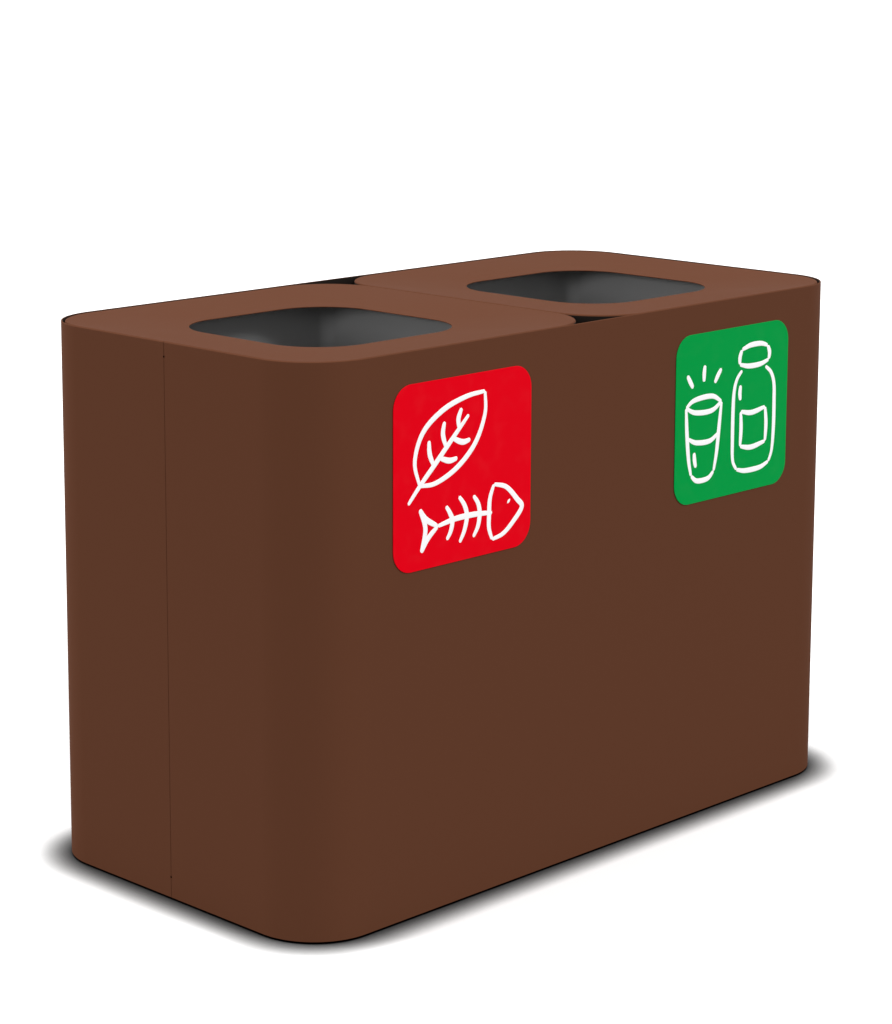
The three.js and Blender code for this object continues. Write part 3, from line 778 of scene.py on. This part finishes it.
class ThickSheet:
    """A sheet of steel laid out as faces. Each corner is a place on the outer skin with the place behind it
    on the inner skin."""

    def __init__(self):
        self.index = {}
        self.pairs = []
        self.faces = []

    def corner(self, outer, inner):
        """The number of that corner. Places a tenth of the weld apart count as one."""
        key = tuple(round(value / WELD * 10) for value in outer)
        if key not in self.index:
            self.index[key] = len(self.pairs)
            self.pairs.append((outer, inner))
        return self.index[key]

    def face(self, *corners):
        """A face with those corners. Corners that coincide count once."""
        indices = [self.corner(*corner) for corner in corners]
        unique = [i for n, i in enumerate(indices) if i != indices[n - 1]]
        if len(unique) > 2:
            self.faces.append(unique)

    def mesh(self, name):
        """Both skins, with walls along the open edges. The inner skin has the second material, which the
        half wraps fill with black as painted shade.
        """
        count = len(self.pairs)
        points = [outer for outer, _ in self.pairs] + [inner for _, inner in self.pairs]
        faces = [list(face) for face in self.faces]
        faces += [[i + count for i in reversed(face)] for face in self.faces]
        used = {(a, b) for face in self.faces for a, b in zip(face, face[1:] + face[:1])}
        faces += [[b, a, a + count, b + count] for a, b in used if (b, a) not in used]
        made = bpy.data.meshes.new(name)
        made.from_pydata(points, [], faces)
        for i in range(len(self.faces), 2 * len(self.faces)):
            made.polygons[i].material_index = 1
        face_outwards(made)
        return made


def wall_plan(half_x, half_y, clear, sizes):
    """The wall from joint to joint, seen from above, as pairs of an outer and an inner place."""
    sheet, r = sizes.sheet, sizes.corner
    plan = [((-half_x, -clear), (sheet - half_x, -clear))]
    for side in (-1, 1):
        centre = (side * (half_x - r), r - half_y)
        for i in range(sizes.corner_steps + 1):
            turn = i / sizes.corner_steps * math.pi / 2
            angle = math.pi + turn if side < 0 else 1.5 * math.pi + turn
            direction = (math.cos(angle), math.sin(angle))
            plan.append(tuple(
                (centre[0] + reach * direction[0], centre[1] + reach * direction[1])
                for reach in (r, r - sheet)
            ))
    plan.append(((half_x, -clear), (half_x - sheet, -clear)))
    return plan


def joint_plan(half_x, fold, inner_fold, sizes):
    """The right end's bend and joint flange, seen from above, as pairs of an outer and an inner place."""
    sheet, bend, inner_bend = sizes.sheet, sizes.bend, sizes.inner_bend
    plan = []
    bend_steps = 5
    for i in range(bend_steps + 1):
        angle = i / bend_steps * math.pi / 2
        across, back = math.cos(angle), math.sin(angle)
        outer = (half_x - bend + bend * across, bend * back - fold)
        inner = (half_x - sheet - inner_bend + inner_bend * across, inner_bend * back - inner_fold)
        plan.append((outer, inner))
    # Past the relief the flange steps out to the relief's middle, and keeps that height to its end.
    step_start = half_x - 1.8 * sheet
    for x in (step_start, step_start - sizes.relief / 2, half_x - sizes.flange):
        plan.append(((x, -sizes.seam_gap / 2), (x, -sizes.seam_gap / 2 - sheet)))
    return plan


def half_wrap(name, sizes):
    """The front half wrap: a bent sheet whose ends turn in to a joint flange between two bend reliefs."""
    half_x, half_y = SHELL_HIGH.x, -SHELL_LOW.y
    bottom, top = SHELL_LOW.z, SHELL_HIGH.z
    sheet, relief = sizes.sheet, sizes.relief
    low = bottom + sizes.relief_above_edge
    high = top - sizes.relief_below_rim
    butt = sizes.butt_gap / 2
    fold = sizes.seam_gap / 2 + sizes.bend  # from the joint's middle to where the bend starts
    inner_fold = sizes.seam_gap / 2 + sheet + sizes.inner_bend  # and to where it starts on the inside
    clear = inner_fold + relief / 2
    built = ThickSheet()

    relief_turns = 8
    from_angle = math.acos(butt / relief)
    to_angle = -math.acos(fold / relief)
    relief_arc = []
    for i in range(relief_turns + 1):
        angle = from_angle + (to_angle - from_angle) * i / relief_turns
        relief_arc.append((relief * math.cos(angle), relief * math.sin(angle)))
    relief_levels = [relief * (1 - 2 * i / relief_turns) for i in range(relief_turns + 1)]

    def on_side(side, back, level, inner_back=None):
        """A point of the side wall, that far in front of the joint."""
        inner = (side * (half_x - sheet), -(inner_back or back), level)
        return (side * half_x, -back, level), inner

    # The wall between the two joints, in level rows that meet the reliefs' facets.
    levels = [bottom] + [low - rise for rise in relief_levels]
    levels += [high - rise for rise in relief_levels] + [top]
    wall = wall_plan(half_x, half_y, clear, sizes)
    for (outer_a, inner_a), (outer_b, inner_b) in zip(wall, wall[1:]):
        for z0, z1 in zip(levels, levels[1:]):
            built.face(
                ((*outer_a, z0), (*inner_a, z0)),
                ((*outer_b, z0), (*inner_b, z0)),
                ((*outer_b, z1), (*inner_b, z1)),
                ((*outer_a, z1), (*inner_a, z1)),
            )

    # Each end: plain edges above and below, the reliefs, and the joint flange between them.
    joint = joint_plan(half_x, fold, inner_fold, sizes)
    full_height_from = len(joint) - 2
    for side in (-1, 1):
        def add(*points):
            built.face(*(points if side > 0 else reversed(points)))

        for level, away in ((low, -1), (high, 1)):
            end = bottom if away < 0 else top
            edge = level + away * relief
            strip = [
                on_side(side, clear, min(edge, end)),
                on_side(side, butt, min(edge, end)),
                on_side(side, butt, max(edge, end)),
                on_side(side, clear, max(edge, end)),
            ]
            add(*strip)
            rim = [on_side(side, clear, level + away * rise) for rise in relief_levels]
            hole = [on_side(side, butt, level + away * relief)]
            hole += [on_side(side, back, level + away * rise) for back, rise in relief_arc[1:-1]]
            hole.append(on_side(side, fold, level + away * relief_arc[-1][1], inner_fold))
            for i in range(relief_turns):
                quad = [rim[i], hole[i], hole[i + 1], rim[i + 1]]
                add(*(quad if away < 0 else reversed(quad)))

        def joint_corner(i, upper):
            (x, y), (inner_x, inner_y) = joint[i]
            level, away = (high, 1) if upper else (low, -1)
            z = level if i >= full_height_from else level + away * relief_arc[-1][1]
            return (side * x, y, z), (side * inner_x, inner_y, z)

        near = [on_side(side, clear, low + relief), on_side(side, clear, high - relief)]
        add(near[0], joint_corner(0, False), joint_corner(0, True), near[1])
        for i in range(len(joint) - 1):
            add(
                joint_corner(i, False),
                joint_corner(i + 1, False),
                joint_corner(i + 1, True),
                joint_corner(i, True),
            )
    return built.mesh(name)


class BIN_OT_shell(Operator):
    """Bends the two half wraps of the body"""

    bl_idname = "recycling_bin.shell"
    bl_label = "Half wraps"

    def execute(self, context):
        sizes = context.scene.bin_shell
        for end in ("front", "rear"):
            mesh = half_wrap(f"half_wrap_{end}", sizes)
            if end == "rear":
                mesh.transform(Matrix.Rotation(math.pi, 4, "Z"))
            mesh.materials.append(powder_coat("brown"))
            # Painted shade: the inner skin takes the black coat, so that the gaps between the rim and the
            # lids show dark.
            mesh.materials.append(powder_coat("black"))
            piece = linked(f"half_wrap_{end}", mesh)
            soft_edges(piece, sizes.edge, 1.5 * sizes.sheet, rim=(SHELL_HIGH.z, sizes.rim_edge))
            even_shading(piece)
            hand_over(piece, "bin", "brown_coat", f"shell_{end}")
        return {"FINISHED"}


# ---------------------------------------------------------------- lids


def lid_rings(sizes):
    """The rings of a lid about its own middle: skirt, bend, falling plate, opening, and back below."""
    low, high = LID_BOX["left"]
    half_x, half_y = (high.x - low.x) / 2, (high.y - low.y) / 2
    top, skirt_edge = high.z, low.z
    half_opening = sizes.opening / 2
    count = sizes.bend_steps

    def from_edge(across, level):
        return (half_x + across, half_y + across, sizes.corner + across, level)

    def from_opening(across, level):
        return (half_opening + across, half_opening + across, sizes.opening_corner + across, level)

    # The cut edges of the opening and of the skirt are half round under the coat.
    sheet, bend = sizes.sheet, sizes.bend
    cut = sheet / 2
    rings = [from_edge(*p) for p in arc(-bend, top - bend, bend, 0, 1, count)]
    rings += [from_opening(*p) for p in arc(cut, top - sizes.fall - cut, cut, 1, 3, count)]
    rings += [from_edge(*p) for p in arc(-bend, top - bend, bend - sheet, 1, 0, count)]
    rings += [from_edge(*p) for p in arc(-cut, skirt_edge + cut, cut, 2, 4, count)]
    return rings + rings[:1]


class BIN_OT_lids(Operator):
    """Presses the two square lids with their rounded openings"""

    bl_idname = "recycling_bin.lids"
    bl_label = "Lids"

    def execute(self, context):
        sizes = context.scene.bin_lids
        for side in SIDES:
            name = f"lid_plate_{side}"
            low, high = LID_BOX[side]
            plate_foot = high.z - sizes.bend
            mesh = lofted(name, lid_rings(sizes), sizes.corner_steps, powder_coat("brown"))
            move_to_middle(mesh, low, high)
            # Painted shade: the skirt below the bend takes the black coat, so that the gaps between the
            # lids and beside the rim show dark.
            mesh.materials.append(powder_coat("black"))
            for face in mesh.polygons:
                upright = abs(face.normal.z) < 0.05
                if upright and face.center.z < plate_foot:
                    face.material_index = 1  # the skirt
            piece = linked(name, mesh)
            even_shading(piece, sharp_from=60.0)
            hand_over(piece, f"lid_{side}", "brown_coat", f"lid_{side}")
        return {"FINISHED"}


# ---------------------------------------------------------------- liners


def liner_rings(sizes):
    """The rings of a liner about its own middle, from the middle of its floor up and down again."""
    low, high = LINER_BOX["left"]
    half = (high.x - low.x) / 2 - 2 * sizes.bead
    foot, rim = low.z, high.z
    bend, sheet, bead, corner = sizes.floor_bend, sizes.sheet, sizes.bead, sizes.corner
    count = sizes.bend_steps

    def wall(level):
        return half - sizes.draft * (rim - level) / (rim - foot)

    floor_half = wall(foot + bend)
    bead_level = rim - bead

    def from_floor(across, level):
        return (floor_half + across, floor_half + across, corner + across, level)

    def from_rim(across, level):
        return (half + across, half + across, corner + across, level)

    neck = wall(bead_level - bead)
    rings = [(0, 0, 0, foot)]
    rings += [from_floor(*p) for p in arc(-bend, foot + bend, bend, -1, 0, count)]
    rings.append((neck, neck, corner, bead_level - bead))
    rings += [from_rim(*p) for p in arc(bead, bead_level, bead, -1, 2, 3 * count)]
    rings.append(from_rim(-sheet, bead_level - bead))
    rings += [from_floor(*p) for p in arc(-bend, foot + bend, bend - sheet, 0, -1, count)]
    rings.append((0, 0, 0, foot + sheet))
    return rings


class BIN_OT_liners(Operator):
    """Makes the two lift-out liners with their rolled rims"""

    bl_idname = "recycling_bin.liners"
    bl_label = "Liners"

    def execute(self, context):
        sizes = context.scene.bin_liners
        for side in SIDES:
            name = f"liner_tub_{side}"
            mesh = lofted(name, liner_rings(sizes), sizes.corner_steps, powder_coat("grey"))
            move_to_middle(mesh, *LINER_BOX[side])
            piece = linked(name, mesh)
            even_shading(piece, sharp_from=60.0)
            hand_over(piece, f"liner_{side}", "grey_coat", f"liner_{side}")
        return {"FINISHED"}


# ---------------------------------------------------------------- signs

# Brush strokes in millimetres from the middle of a plate, across and up. A lone leaf and the bones of a
# fish stand for food waste, a tumbler and a jar for glass.
FOOD_STROKES = [
    [(-54, -8), (-60, 14), (-50, 38), (-26, 54), (2, 62), (26, 64)],
    [(26, 64), (26, 44), (14, 20), (-8, 2), (-34, -8), (-54, -8)],
    [(-68, -22), (-54, -8), (-36, 8), (-14, 28), (6, 46)],
    [(-37, 7), (-42, 18), (-43, 30)],
    [(-22, 21), (-26, 33), (-24, 44)],
    [(-6, 35), (-7, 44), (-3, 53)],
    [(-30, 13), (-18, 9), (-8, 10)],
    [(-14, 28), (-2, 23), (8, 24)],
    [(-32, -46), (-10, -43), (14, -43), (36, -45)],
    [(-54, -28), (-46, -38), (-32, -46)],
    [(-52, -66), (-44, -55), (-32, -46)],
    [(-54, -28), (-47, -46), (-52, -66)],
    [(-22, -30), (-17, -37), (-14, -44), (-16, -53), (-21, -60)],
    [(-6, -24), (1, -33), (4, -43), (1, -55), (-5, -65)],
    [(12, -26), (18, -34), (20, -43), (18, -54), (12, -63)],
    [(38, -20), (54, -25), (68, -38), (74, -46), (62, -58), (50, -66), (36, -69)],
    [(38, -20), (33, -32), (32, -46), (32, -58), (36, -69)],
    [(56, -37), (58, -39)],
]
GLASS_STROKES = [
    [(14, 38), (6, 30), (2, 18), (1, 0), (1, -28), (2, -48), (8, -58)],
    [(8, -58), (22, -61), (44, -61), (58, -57)],
    [(58, -57), (63, -46), (65, -24), (65, 4), (64, 20), (59, 31), (50, 38)],
    [(10, 44), (10, 51), (13, 58)],
    [(13, 58), (26, 61), (42, 61), (53, 58)],
    [(53, 58), (56, 51), (55, 44)],
    [(10, 44), (24, 41), (42, 41), (55, 44)],
    [(13, -2), (14, -18), (13, -36)],
    [(13, -36), (30, -39), (52, -36)],
    [(52, -36), (53, -18), (51, -2)],
    [(13, -2), (30, -5), (51, -2)],
    [(12, 24), (11, 16), (12, 9)],
    [(-70, 12), (-68, -14), (-65, -38), (-61, -54)],
    [(-61, -54), (-52, -60), (-36, -60), (-27, -54)],
    [(-27, -54), (-23, -36), (-20, -12), (-17, 12)],
    [(-70, 12), (-56, 6), (-32, 5), (-17, 12)],
    [(-70, 12), (-58, 18), (-32, 19), (-17, 12)],
    [(-66, -18), (-54, -23), (-34, -24), (-21, -18)],
    [(-57, -32), (-56, -40), (-54, -47)],
    [(-44, 34), (-44, 42), (-43, 50)],
    [(-60, 30), (-65, 37), (-69, 43)],
    [(-28, 31), (-23, 38), (-18, 44)],
]
SIGNS = {"red": FOOD_STROKES, "green": GLASS_STROKES}


def smoothed(points, count=8):
    """A smooth line through all the points."""
    given = [Vector(p) for p in points]
    before = [2 * given[0] - given[1], *given, 2 * given[-1] - given[-2]]
    line = []
    for i in range(1, len(before) - 2):
        a, b, c, d = before[i - 1 : i + 3]
        for n in range(count):
            t = n / count
            line.append(0.5 * (
                2 * b + (c - a) * t + (2 * a - 5 * b + 4 * c - d) * t**2 + (3 * b - a - 3 * c + d) * t**3
            ))
    return [*line, given[-1]]


def stroke_source(strokes):
    """The strokes as poly lines in the XZ plane, in metres."""
    curve = bpy.data.curves.new("strokes", "CURVE")
    curve.dimensions = "3D"
    for stroke in strokes:
        line = smoothed(stroke)
        spline = curve.splines.new("POLY")
        spline.points.add(len(line) - 1)
        for point, place in zip(spline.points, line):
            point.co = (place.x * MM, 0, place.y * MM, 1)
    return linked("strokes", curve)


def sign_plate(name, low, high, sizes, material):
    """A thin plate with rounded corners and edges, standing up with its face to the front."""
    half_x, half_z = (high.x - low.x) / 2, (high.z - low.z) / 2
    depth = high.y - low.y - sizes.print_depth
    edge, edge_steps = sizes.edge, 3

    def ring(across, level):
        return (half_x + across, half_z + across, sizes.corner + across, level)

    rings = [(0, 0, 0, 0)]
    rings += [ring(*p) for p in arc(-edge, edge, edge, -1, 0, edge_steps)]
    rings += [ring(*p) for p in arc(-edge, depth - edge, edge, 0, 1, edge_steps)]
    rings.append((0, 0, 0, depth))
    mesh = lofted(name, rings, sizes.corner_steps, material)
    middle = (low + high) / 2
    upright = Matrix.Rotation(math.pi / 2, 4, "X")
    mesh.transform(Matrix.Translation((middle.x, high.y, middle.z)) @ upright)
    return mesh


class BIN_OT_signs(Operator):
    """Makes the coloured plates and brushes their pictograms on"""

    bl_idname = "recycling_bin.signs"
    bl_label = "Signs"

    def execute(self, context):
        sizes = context.scene.bin_signs
        finishes = context.scene.bin_finishes
        strokes_tree = ready_tree("Brush strokes", build_strokes)
        white = ready_material("white_print", print_material, finishes.white)
        for name, strokes in SIGNS.items():
            low, high = SIGN_BOX[name]
            paint = ready_material(f"{name}_sign_coat", plate_material, getattr(finishes, name))
            mesh = sign_plate(f"sign_plate_{name}", low, high, sizes, paint)
            plate = linked(mesh.name, mesh)
            even_shading(plate, sharp_from=60.0)
            hand_over(plate, "bin", f"{name}_plate", f"label_{name}")
            mesh = run_tree(
                stroke_source(strokes),
                strokes_tree,
                f"sign_print_{name}",
                width=sizes.stroke,
                depth=sizes.print_depth,
                tip=sizes.tip,
                material=white,
            )
            face_outwards(mesh)
            middle = (low + high) / 2
            mesh.transform(Matrix.Translation((middle.x, low.y + sizes.print_depth, middle.z)))
            hand_over(linked(mesh.name, mesh), "bin", None)
        return {"FINISHED"}


# ---------------------------------------------------------------- folded inner parts

# The black coat is the inner parts' own finish; on the bridge and the ledges, under the gaps between the
# lids, it also serves as painted shade.
FOLDED_PARTS = {
    "base_pan": "pan_tray",
    "centre_divider": "divider_panel",
    "centre_bridge": "bridge_channel",
    "lid_ledge_front": "ledge_angle_front",
    "lid_ledge_rear": "ledge_angle_rear",
}


class BIN_OT_folded_parts(Operator):
    """Coats the base pan, divider, bridge and ledges, with softened sheet edges"""

    bl_idname = "recycling_bin.folded_parts"
    bl_label = "Folded inner parts"

    def execute(self, context):
        sizes = context.scene.bin_small
        shortest = 2 * MM  # longer than the sheets are thick, so their cut corners stay as they are
        for node, name in FOLDED_PARTS.items():
            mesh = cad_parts[node].data.copy()
            mesh.name = name
            mesh.materials.clear()
            work = bmesh.new()
            work.from_mesh(mesh)
            bmesh.ops.remove_doubles(work, verts=work.verts, dist=WELD)
            bmesh.ops.dissolve_limit(
                work, angle_limit=math.radians(0.5), verts=work.verts, edges=work.edges
            )
            work.to_mesh(mesh)
            work.free()
            mesh.materials.append(powder_coat("black"))
            piece = linked(name, mesh)
            soft_edges(piece, sizes.fold_edge, shortest)
            even_shading(piece)
            hand_over(piece, "bin", "black_coat", node)
        return {"FINISHED"}


# ---------------------------------------------------------------- rivets and rubber parts


def set_on_points(name, piece_mesh, points, turn, material):
    """Copies of a small piece on all the points, as one mesh."""
    source = bpy.data.meshes.new("points")
    source.from_pydata([tuple(point) for point in points], [], [])
    master = linked("master", piece_mesh)
    mesh = run_tree(
        linked("points", source),
        ready_tree("Pieces on points", build_copies),
        name,
        piece=master,
        turn=turn,
        material=material,
    )
    bpy.data.objects.remove(master)
    piece = linked(name, mesh)
    even_shading(piece, sharp_from=50.0)
    return piece


def rivet_profile(sizes, stack):
    """A blind rivet from its closed head up to the head with the broken mandrel."""
    half = stack / 2
    shank, head, rise, pin = sizes.rivet_shank, sizes.rivet_head, sizes.rivet_rise, sizes.mandrel
    dome_step = math.radians(15)
    dome = [(head * math.cos(i * dome_step), half + rise * math.sin(i * dome_step)) for i in range(6)]
    upper = [(shank, half), *dome]
    lower = [(radius, -level) for radius, level in reversed(upper)]
    hole_rim = (pin + 0.25 * MM, half + rise * 0.97)
    pin_edge = half + rise * 0.82  # the mandrel ends a little below the top of the head
    pin_middle = pin_edge + 0.05 * MM
    mandrel = [(pin, pin_edge), (pin * 0.6, pin_middle), (0, pin_middle)]
    return [(0, -half - rise), *lower, *upper, hole_rim, *mandrel]


# The nodes, the axis along the shank and the finish of each group.
RIVET_GROUPS = {
    "joint_rivets": (
        [f"joint_rivet_{side}_{i}" for side in SIDES for i in (1, 2, 3)],
        "y",
        "zinc_steel",
    ),
    "divider_rivets": ([f"divider_rivet_{i}" for i in (1, 2, 3)], "z", "zinc_steel"),
    "bridge_rivets": (["bridge_rivet_front", "bridge_rivet_rear"], "z", "black_coat"),
}


class BIN_OT_rivets(Operator):
    """Sets the rivets of the joints, the divider and the bridge"""

    bl_idname = "recycling_bin.rivets"
    bl_label = "Rivets"

    def execute(self, context):
        sizes = context.scene.bin_small
        zinc = ready_material("zinc_plated_steel", zinc_material, context.scene.bin_finishes.zinc)
        for name, (nodes, axis, slot) in RIVET_GROUPS.items():
            low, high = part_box(nodes[0])
            stack = getattr(high - low, axis) - 2 * sizes.rivet_rise
            turn = (-math.pi / 2, 0, 0) if axis == "y" else (0, 0, 0)
            material = zinc if slot == "zinc_steel" else powder_coat("black")
            master = turned("rivet", rivet_profile(sizes, stack), sizes.round_steps, material)
            points = [middle_of(node) for node in nodes]
            piece = set_on_points(name, master, points, turn, material)
            hand_over(piece, "bin", slot, *nodes)
        return {"FINISHED"}


# The node names, the name of the sizes and the turn of each kind. A buffer hangs with its pad upwards.
RUBBER_PARTS = {
    "rubber_feet": ([f"base_foot_{i}" for i in (1, 2, 3, 4)], "foot", 0),
    "lid_buffers": ([f"lid_buffer_{side}_{i}" for side in SIDES for i in (1, 2, 3, 4)], "buffer", math.pi),
}


def plug_profile(low, high, stem, barb, barb_height, under, rounding):
    """A push-in rubber part with its pad below: pad, stem through the sheet, and barb above."""
    pad = (high.x - low.x) / 2
    height = high.z - low.z
    over = height - barb_height
    hollow = pad * 0.55
    profile = [(0, rounding), (hollow, rounding), (hollow + rounding, 0), (pad - rounding, 0)]
    profile += arc(pad - rounding, rounding, rounding, -1, 0, 4)[1:]
    profile += arc(pad - rounding / 2, under - rounding / 2, rounding / 2, 0, 1, 3)
    profile += [(stem, under), (stem, over)]
    profile += [(barb - rounding / 4, over), (barb, over + rounding / 4)]
    profile += [(stem * 0.8, height - rounding / 4), (stem * 0.7, height), (0, height)]
    return profile


class BIN_OT_rubber_parts(Operator):
    """Pushes in the feet and the lid buffers"""

    bl_idname = "recycling_bin.rubber_parts"
    bl_label = "Feet and lid buffers"

    def execute(self, context):
        sizes = context.scene.bin_small
        rubber = ready_material("black_rubber", rubber_material, context.scene.bin_finishes.rubber)
        for name, (nodes, kind, turn) in RUBBER_PARTS.items():
            low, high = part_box(nodes[0])
            names = ("stem", "barb", "barb_height", "pad", "rounding")
            profile = plug_profile(low, high, *(getattr(sizes, f"{kind}_{size}") for size in names))
            master = turned(kind, profile, sizes.round_steps, rubber)
            pad_level = high.z if turn else low.z
            points = [Vector((*middle_of(node).xy, pad_level)) for node in nodes]
            piece = set_on_points(name, master, points, (turn, 0, 0), rubber)
            hand_over(piece, "bin", "rubber", *nodes)
        return {"FINISHED"}


# ---------------------------------------------------------------- stage


# The azimuth, elevation and spread of each lamp in degrees. Its level is the setting of the same name.
LAMPS = {
    "overhead": (255, 86.5, 5),
    "front": (-12, 38, 25),
    "side": (135, 40, 25),
    "low_side": (72, 11, 10),
    "low_front": (12, 10, 16),
}


def towards(azimuth, elevation):
    """Unit vector to a place in the sky. Azimuth runs from -Y towards -X."""
    a, e = math.radians(azimuth), math.radians(elevation)
    return Vector((-math.sin(a) * math.cos(e), -math.cos(a) * math.cos(e), math.sin(e)))


def add_lamp(name, direction, level, spread):
    """A distant lamp that gives a white surface facing it that level."""
    data = bpy.data.lights.new(name, "SUN")
    data.energy = level * math.pi
    data.angle = math.radians(spread)
    lamp = linked(name, data)
    lamp.rotation_euler = direction.to_track_quat("Z", "Y").to_euler()
    lamp.visible_glossy = False


def shows_background(tree):
    """1 for the rays that see the plain background: camera, glossy and transmission rays."""
    path = tree.add("ShaderNodeLightPath").outputs
    seen = tree.math("MAXIMUM", path["Is Camera Ray"], path["Is Glossy Ray"])
    return tree.math("MAXIMUM", seen, path["Is Transmission Ray"])


def floor_material(settings):
    """Pale floor that keeps the bin's shadow, with a painted contact shadow: an occlusion factor darkens
    its colour where the bin stands.
    """
    material = bpy.data.materials.new("studio_floor")
    material.use_nodes = True
    tree = Tree(material.node_tree)
    tree.tree.nodes.clear()
    output = tree.add("ShaderNodeOutputMaterial")
    contact = tree.add(
        "ShaderNodeAmbientOcclusion", {"Distance": settings.contact}, samples=16
    )
    # Painted shadow: the occlusion, raised to a power, darkens the floor's colour round the foot of the
    # bin.
    painted_contact_shadow = tree.math("POWER", contact.outputs["AO"], settings.contact_depth)
    shown = tree.math("MULTIPLY", painted_contact_shadow, settings.floor_white)
    seen = tree.add("ShaderNodeBsdfDiffuse", {"Color": shown})
    bounce = settings.floor_bounce
    thrown = tree.add("ShaderNodeBsdfDiffuse", {"Color": (bounce, bounce, bounce, 1)})
    mixed = tree.add(
        "ShaderNodeMixShader", {0: shows_background(tree), 1: thrown.outputs[0], 2: seen.outputs[0]}
    )
    tree.feed(output.inputs[0], mixed.outputs[0])
    return material


def add_floor(settings):
    """A level square under the bin."""
    reach = settings.floor_reach
    mesh = bpy.data.meshes.new("studio_floor")
    corners = [(-reach, -reach, 0), (reach, -reach, 0), (reach, reach, 0), (-reach, reach, 0)]
    mesh.from_pydata(corners, [], [(0, 1, 2, 3)])
    mesh.materials.append(floor_material(settings))
    linked("studio_floor", mesh)


def new_sky(level):
    """Even white light from all round, in front of a white background."""
    world = bpy.data.worlds.new("studio_sky")
    world.use_nodes = True
    tree = Tree(world.node_tree)
    background = world.node_tree.nodes["Background"]
    background.inputs["Color"].default_value = (1, 1, 1, 1)
    strength = tree.math("MULTIPLY_ADD", shows_background(tree), 1.0 - level, level)
    tree.feed(background.inputs["Strength"], strength)
    return world


def add_camera(settings):
    """The camera with its lens and shift, turned to its heading and pitch."""
    data = bpy.data.cameras.new("camera")
    data.sensor_width = 36
    data.lens = settings.lens
    data.shift_x = settings.shift_x
    data.shift_y = settings.shift_y
    camera = linked("camera", data)
    camera.location = settings.place
    heading, pitch = settings.heading, settings.pitch
    forward = Vector((
        math.sin(heading) * math.cos(pitch),
        math.cos(heading) * math.cos(pitch),
        -math.sin(pitch),
    ))
    camera.rotation_euler = forward.to_track_quat("-Z", "Y").to_euler()
    return camera


class BIN_OT_stage(Operator):
    """Sets up the floor, the lamps, the sky and the camera"""

    bl_idname = "recycling_bin.stage"
    bl_label = "Stage"

    def execute(self, context):
        scene = context.scene
        settings = scene.bin_studio
        add_floor(settings)
        for name, (azimuth, elevation, spread) in LAMPS.items():
            add_lamp(f"{name}_lamp", towards(azimuth, elevation), getattr(settings, name), spread)
        scene.world = new_sky(settings.sky)
        scene.camera = add_camera(settings)
        scene.view_settings.view_transform = "Standard"
        return {"FINISHED"}


# ---------------------------------------------------------------- add-on

SETTINGS = {
    "bin_shell": ShellSizes,
    "bin_lids": LidSizes,
    "bin_liners": LinerSizes,
    "bin_signs": SignSizes,
    "bin_small": SmallPartSizes,
    "bin_finishes": Finishes,
    "bin_studio": StudioSettings,
}
OPERATORS = (
    BIN_OT_stage,
    BIN_OT_shell,
    BIN_OT_folded_parts,
    BIN_OT_rivets,
    BIN_OT_rubber_parts,
    BIN_OT_liners,
    BIN_OT_lids,
    BIN_OT_signs,
)


class BIN_PT_panel(Panel):
    """Sizes, finishes and build steps of the bin"""

    bl_idname = "BIN_PT_panel"
    bl_label = "Recycling Bin"
    bl_space_type = "VIEW_3D"
    bl_region_type = "UI"
    bl_category = "Recycling Bin"

    def draw(self, context):
        layout = self.layout
        for operator in OPERATORS:
            layout.operator(operator.bl_idname)
        for attribute, group in SETTINGS.items():
            box = layout.box()
            box.label(text=group.__doc__)
            settings = getattr(context.scene, attribute)
            for name in group.__annotations__:
                box.prop(settings, name)


CLASSES = (*SETTINGS.values(), *OPERATORS, BIN_PT_panel)


def register():
    for cls in CLASSES:
        bpy.utils.register_class(cls)
    for attribute, group in SETTINGS.items():
        setattr(bpy.types.Scene, attribute, PointerProperty(type=group))


def unregister():
    for attribute in SETTINGS:
        delattr(bpy.types.Scene, attribute)
    for cls in reversed(CLASSES):
        bpy.utils.unregister_class(cls)


def main():
    """Builds every group of pieces."""
    register()
    for operator in OPERATORS:
        category, name = operator.bl_idname.split(".")
        result = getattr(getattr(bpy.ops, category), name)()
        if result != {"FINISHED"}:
            raise RuntimeError(f"{operator.bl_idname} did not finish")


if __name__ == "__main__":
    main()
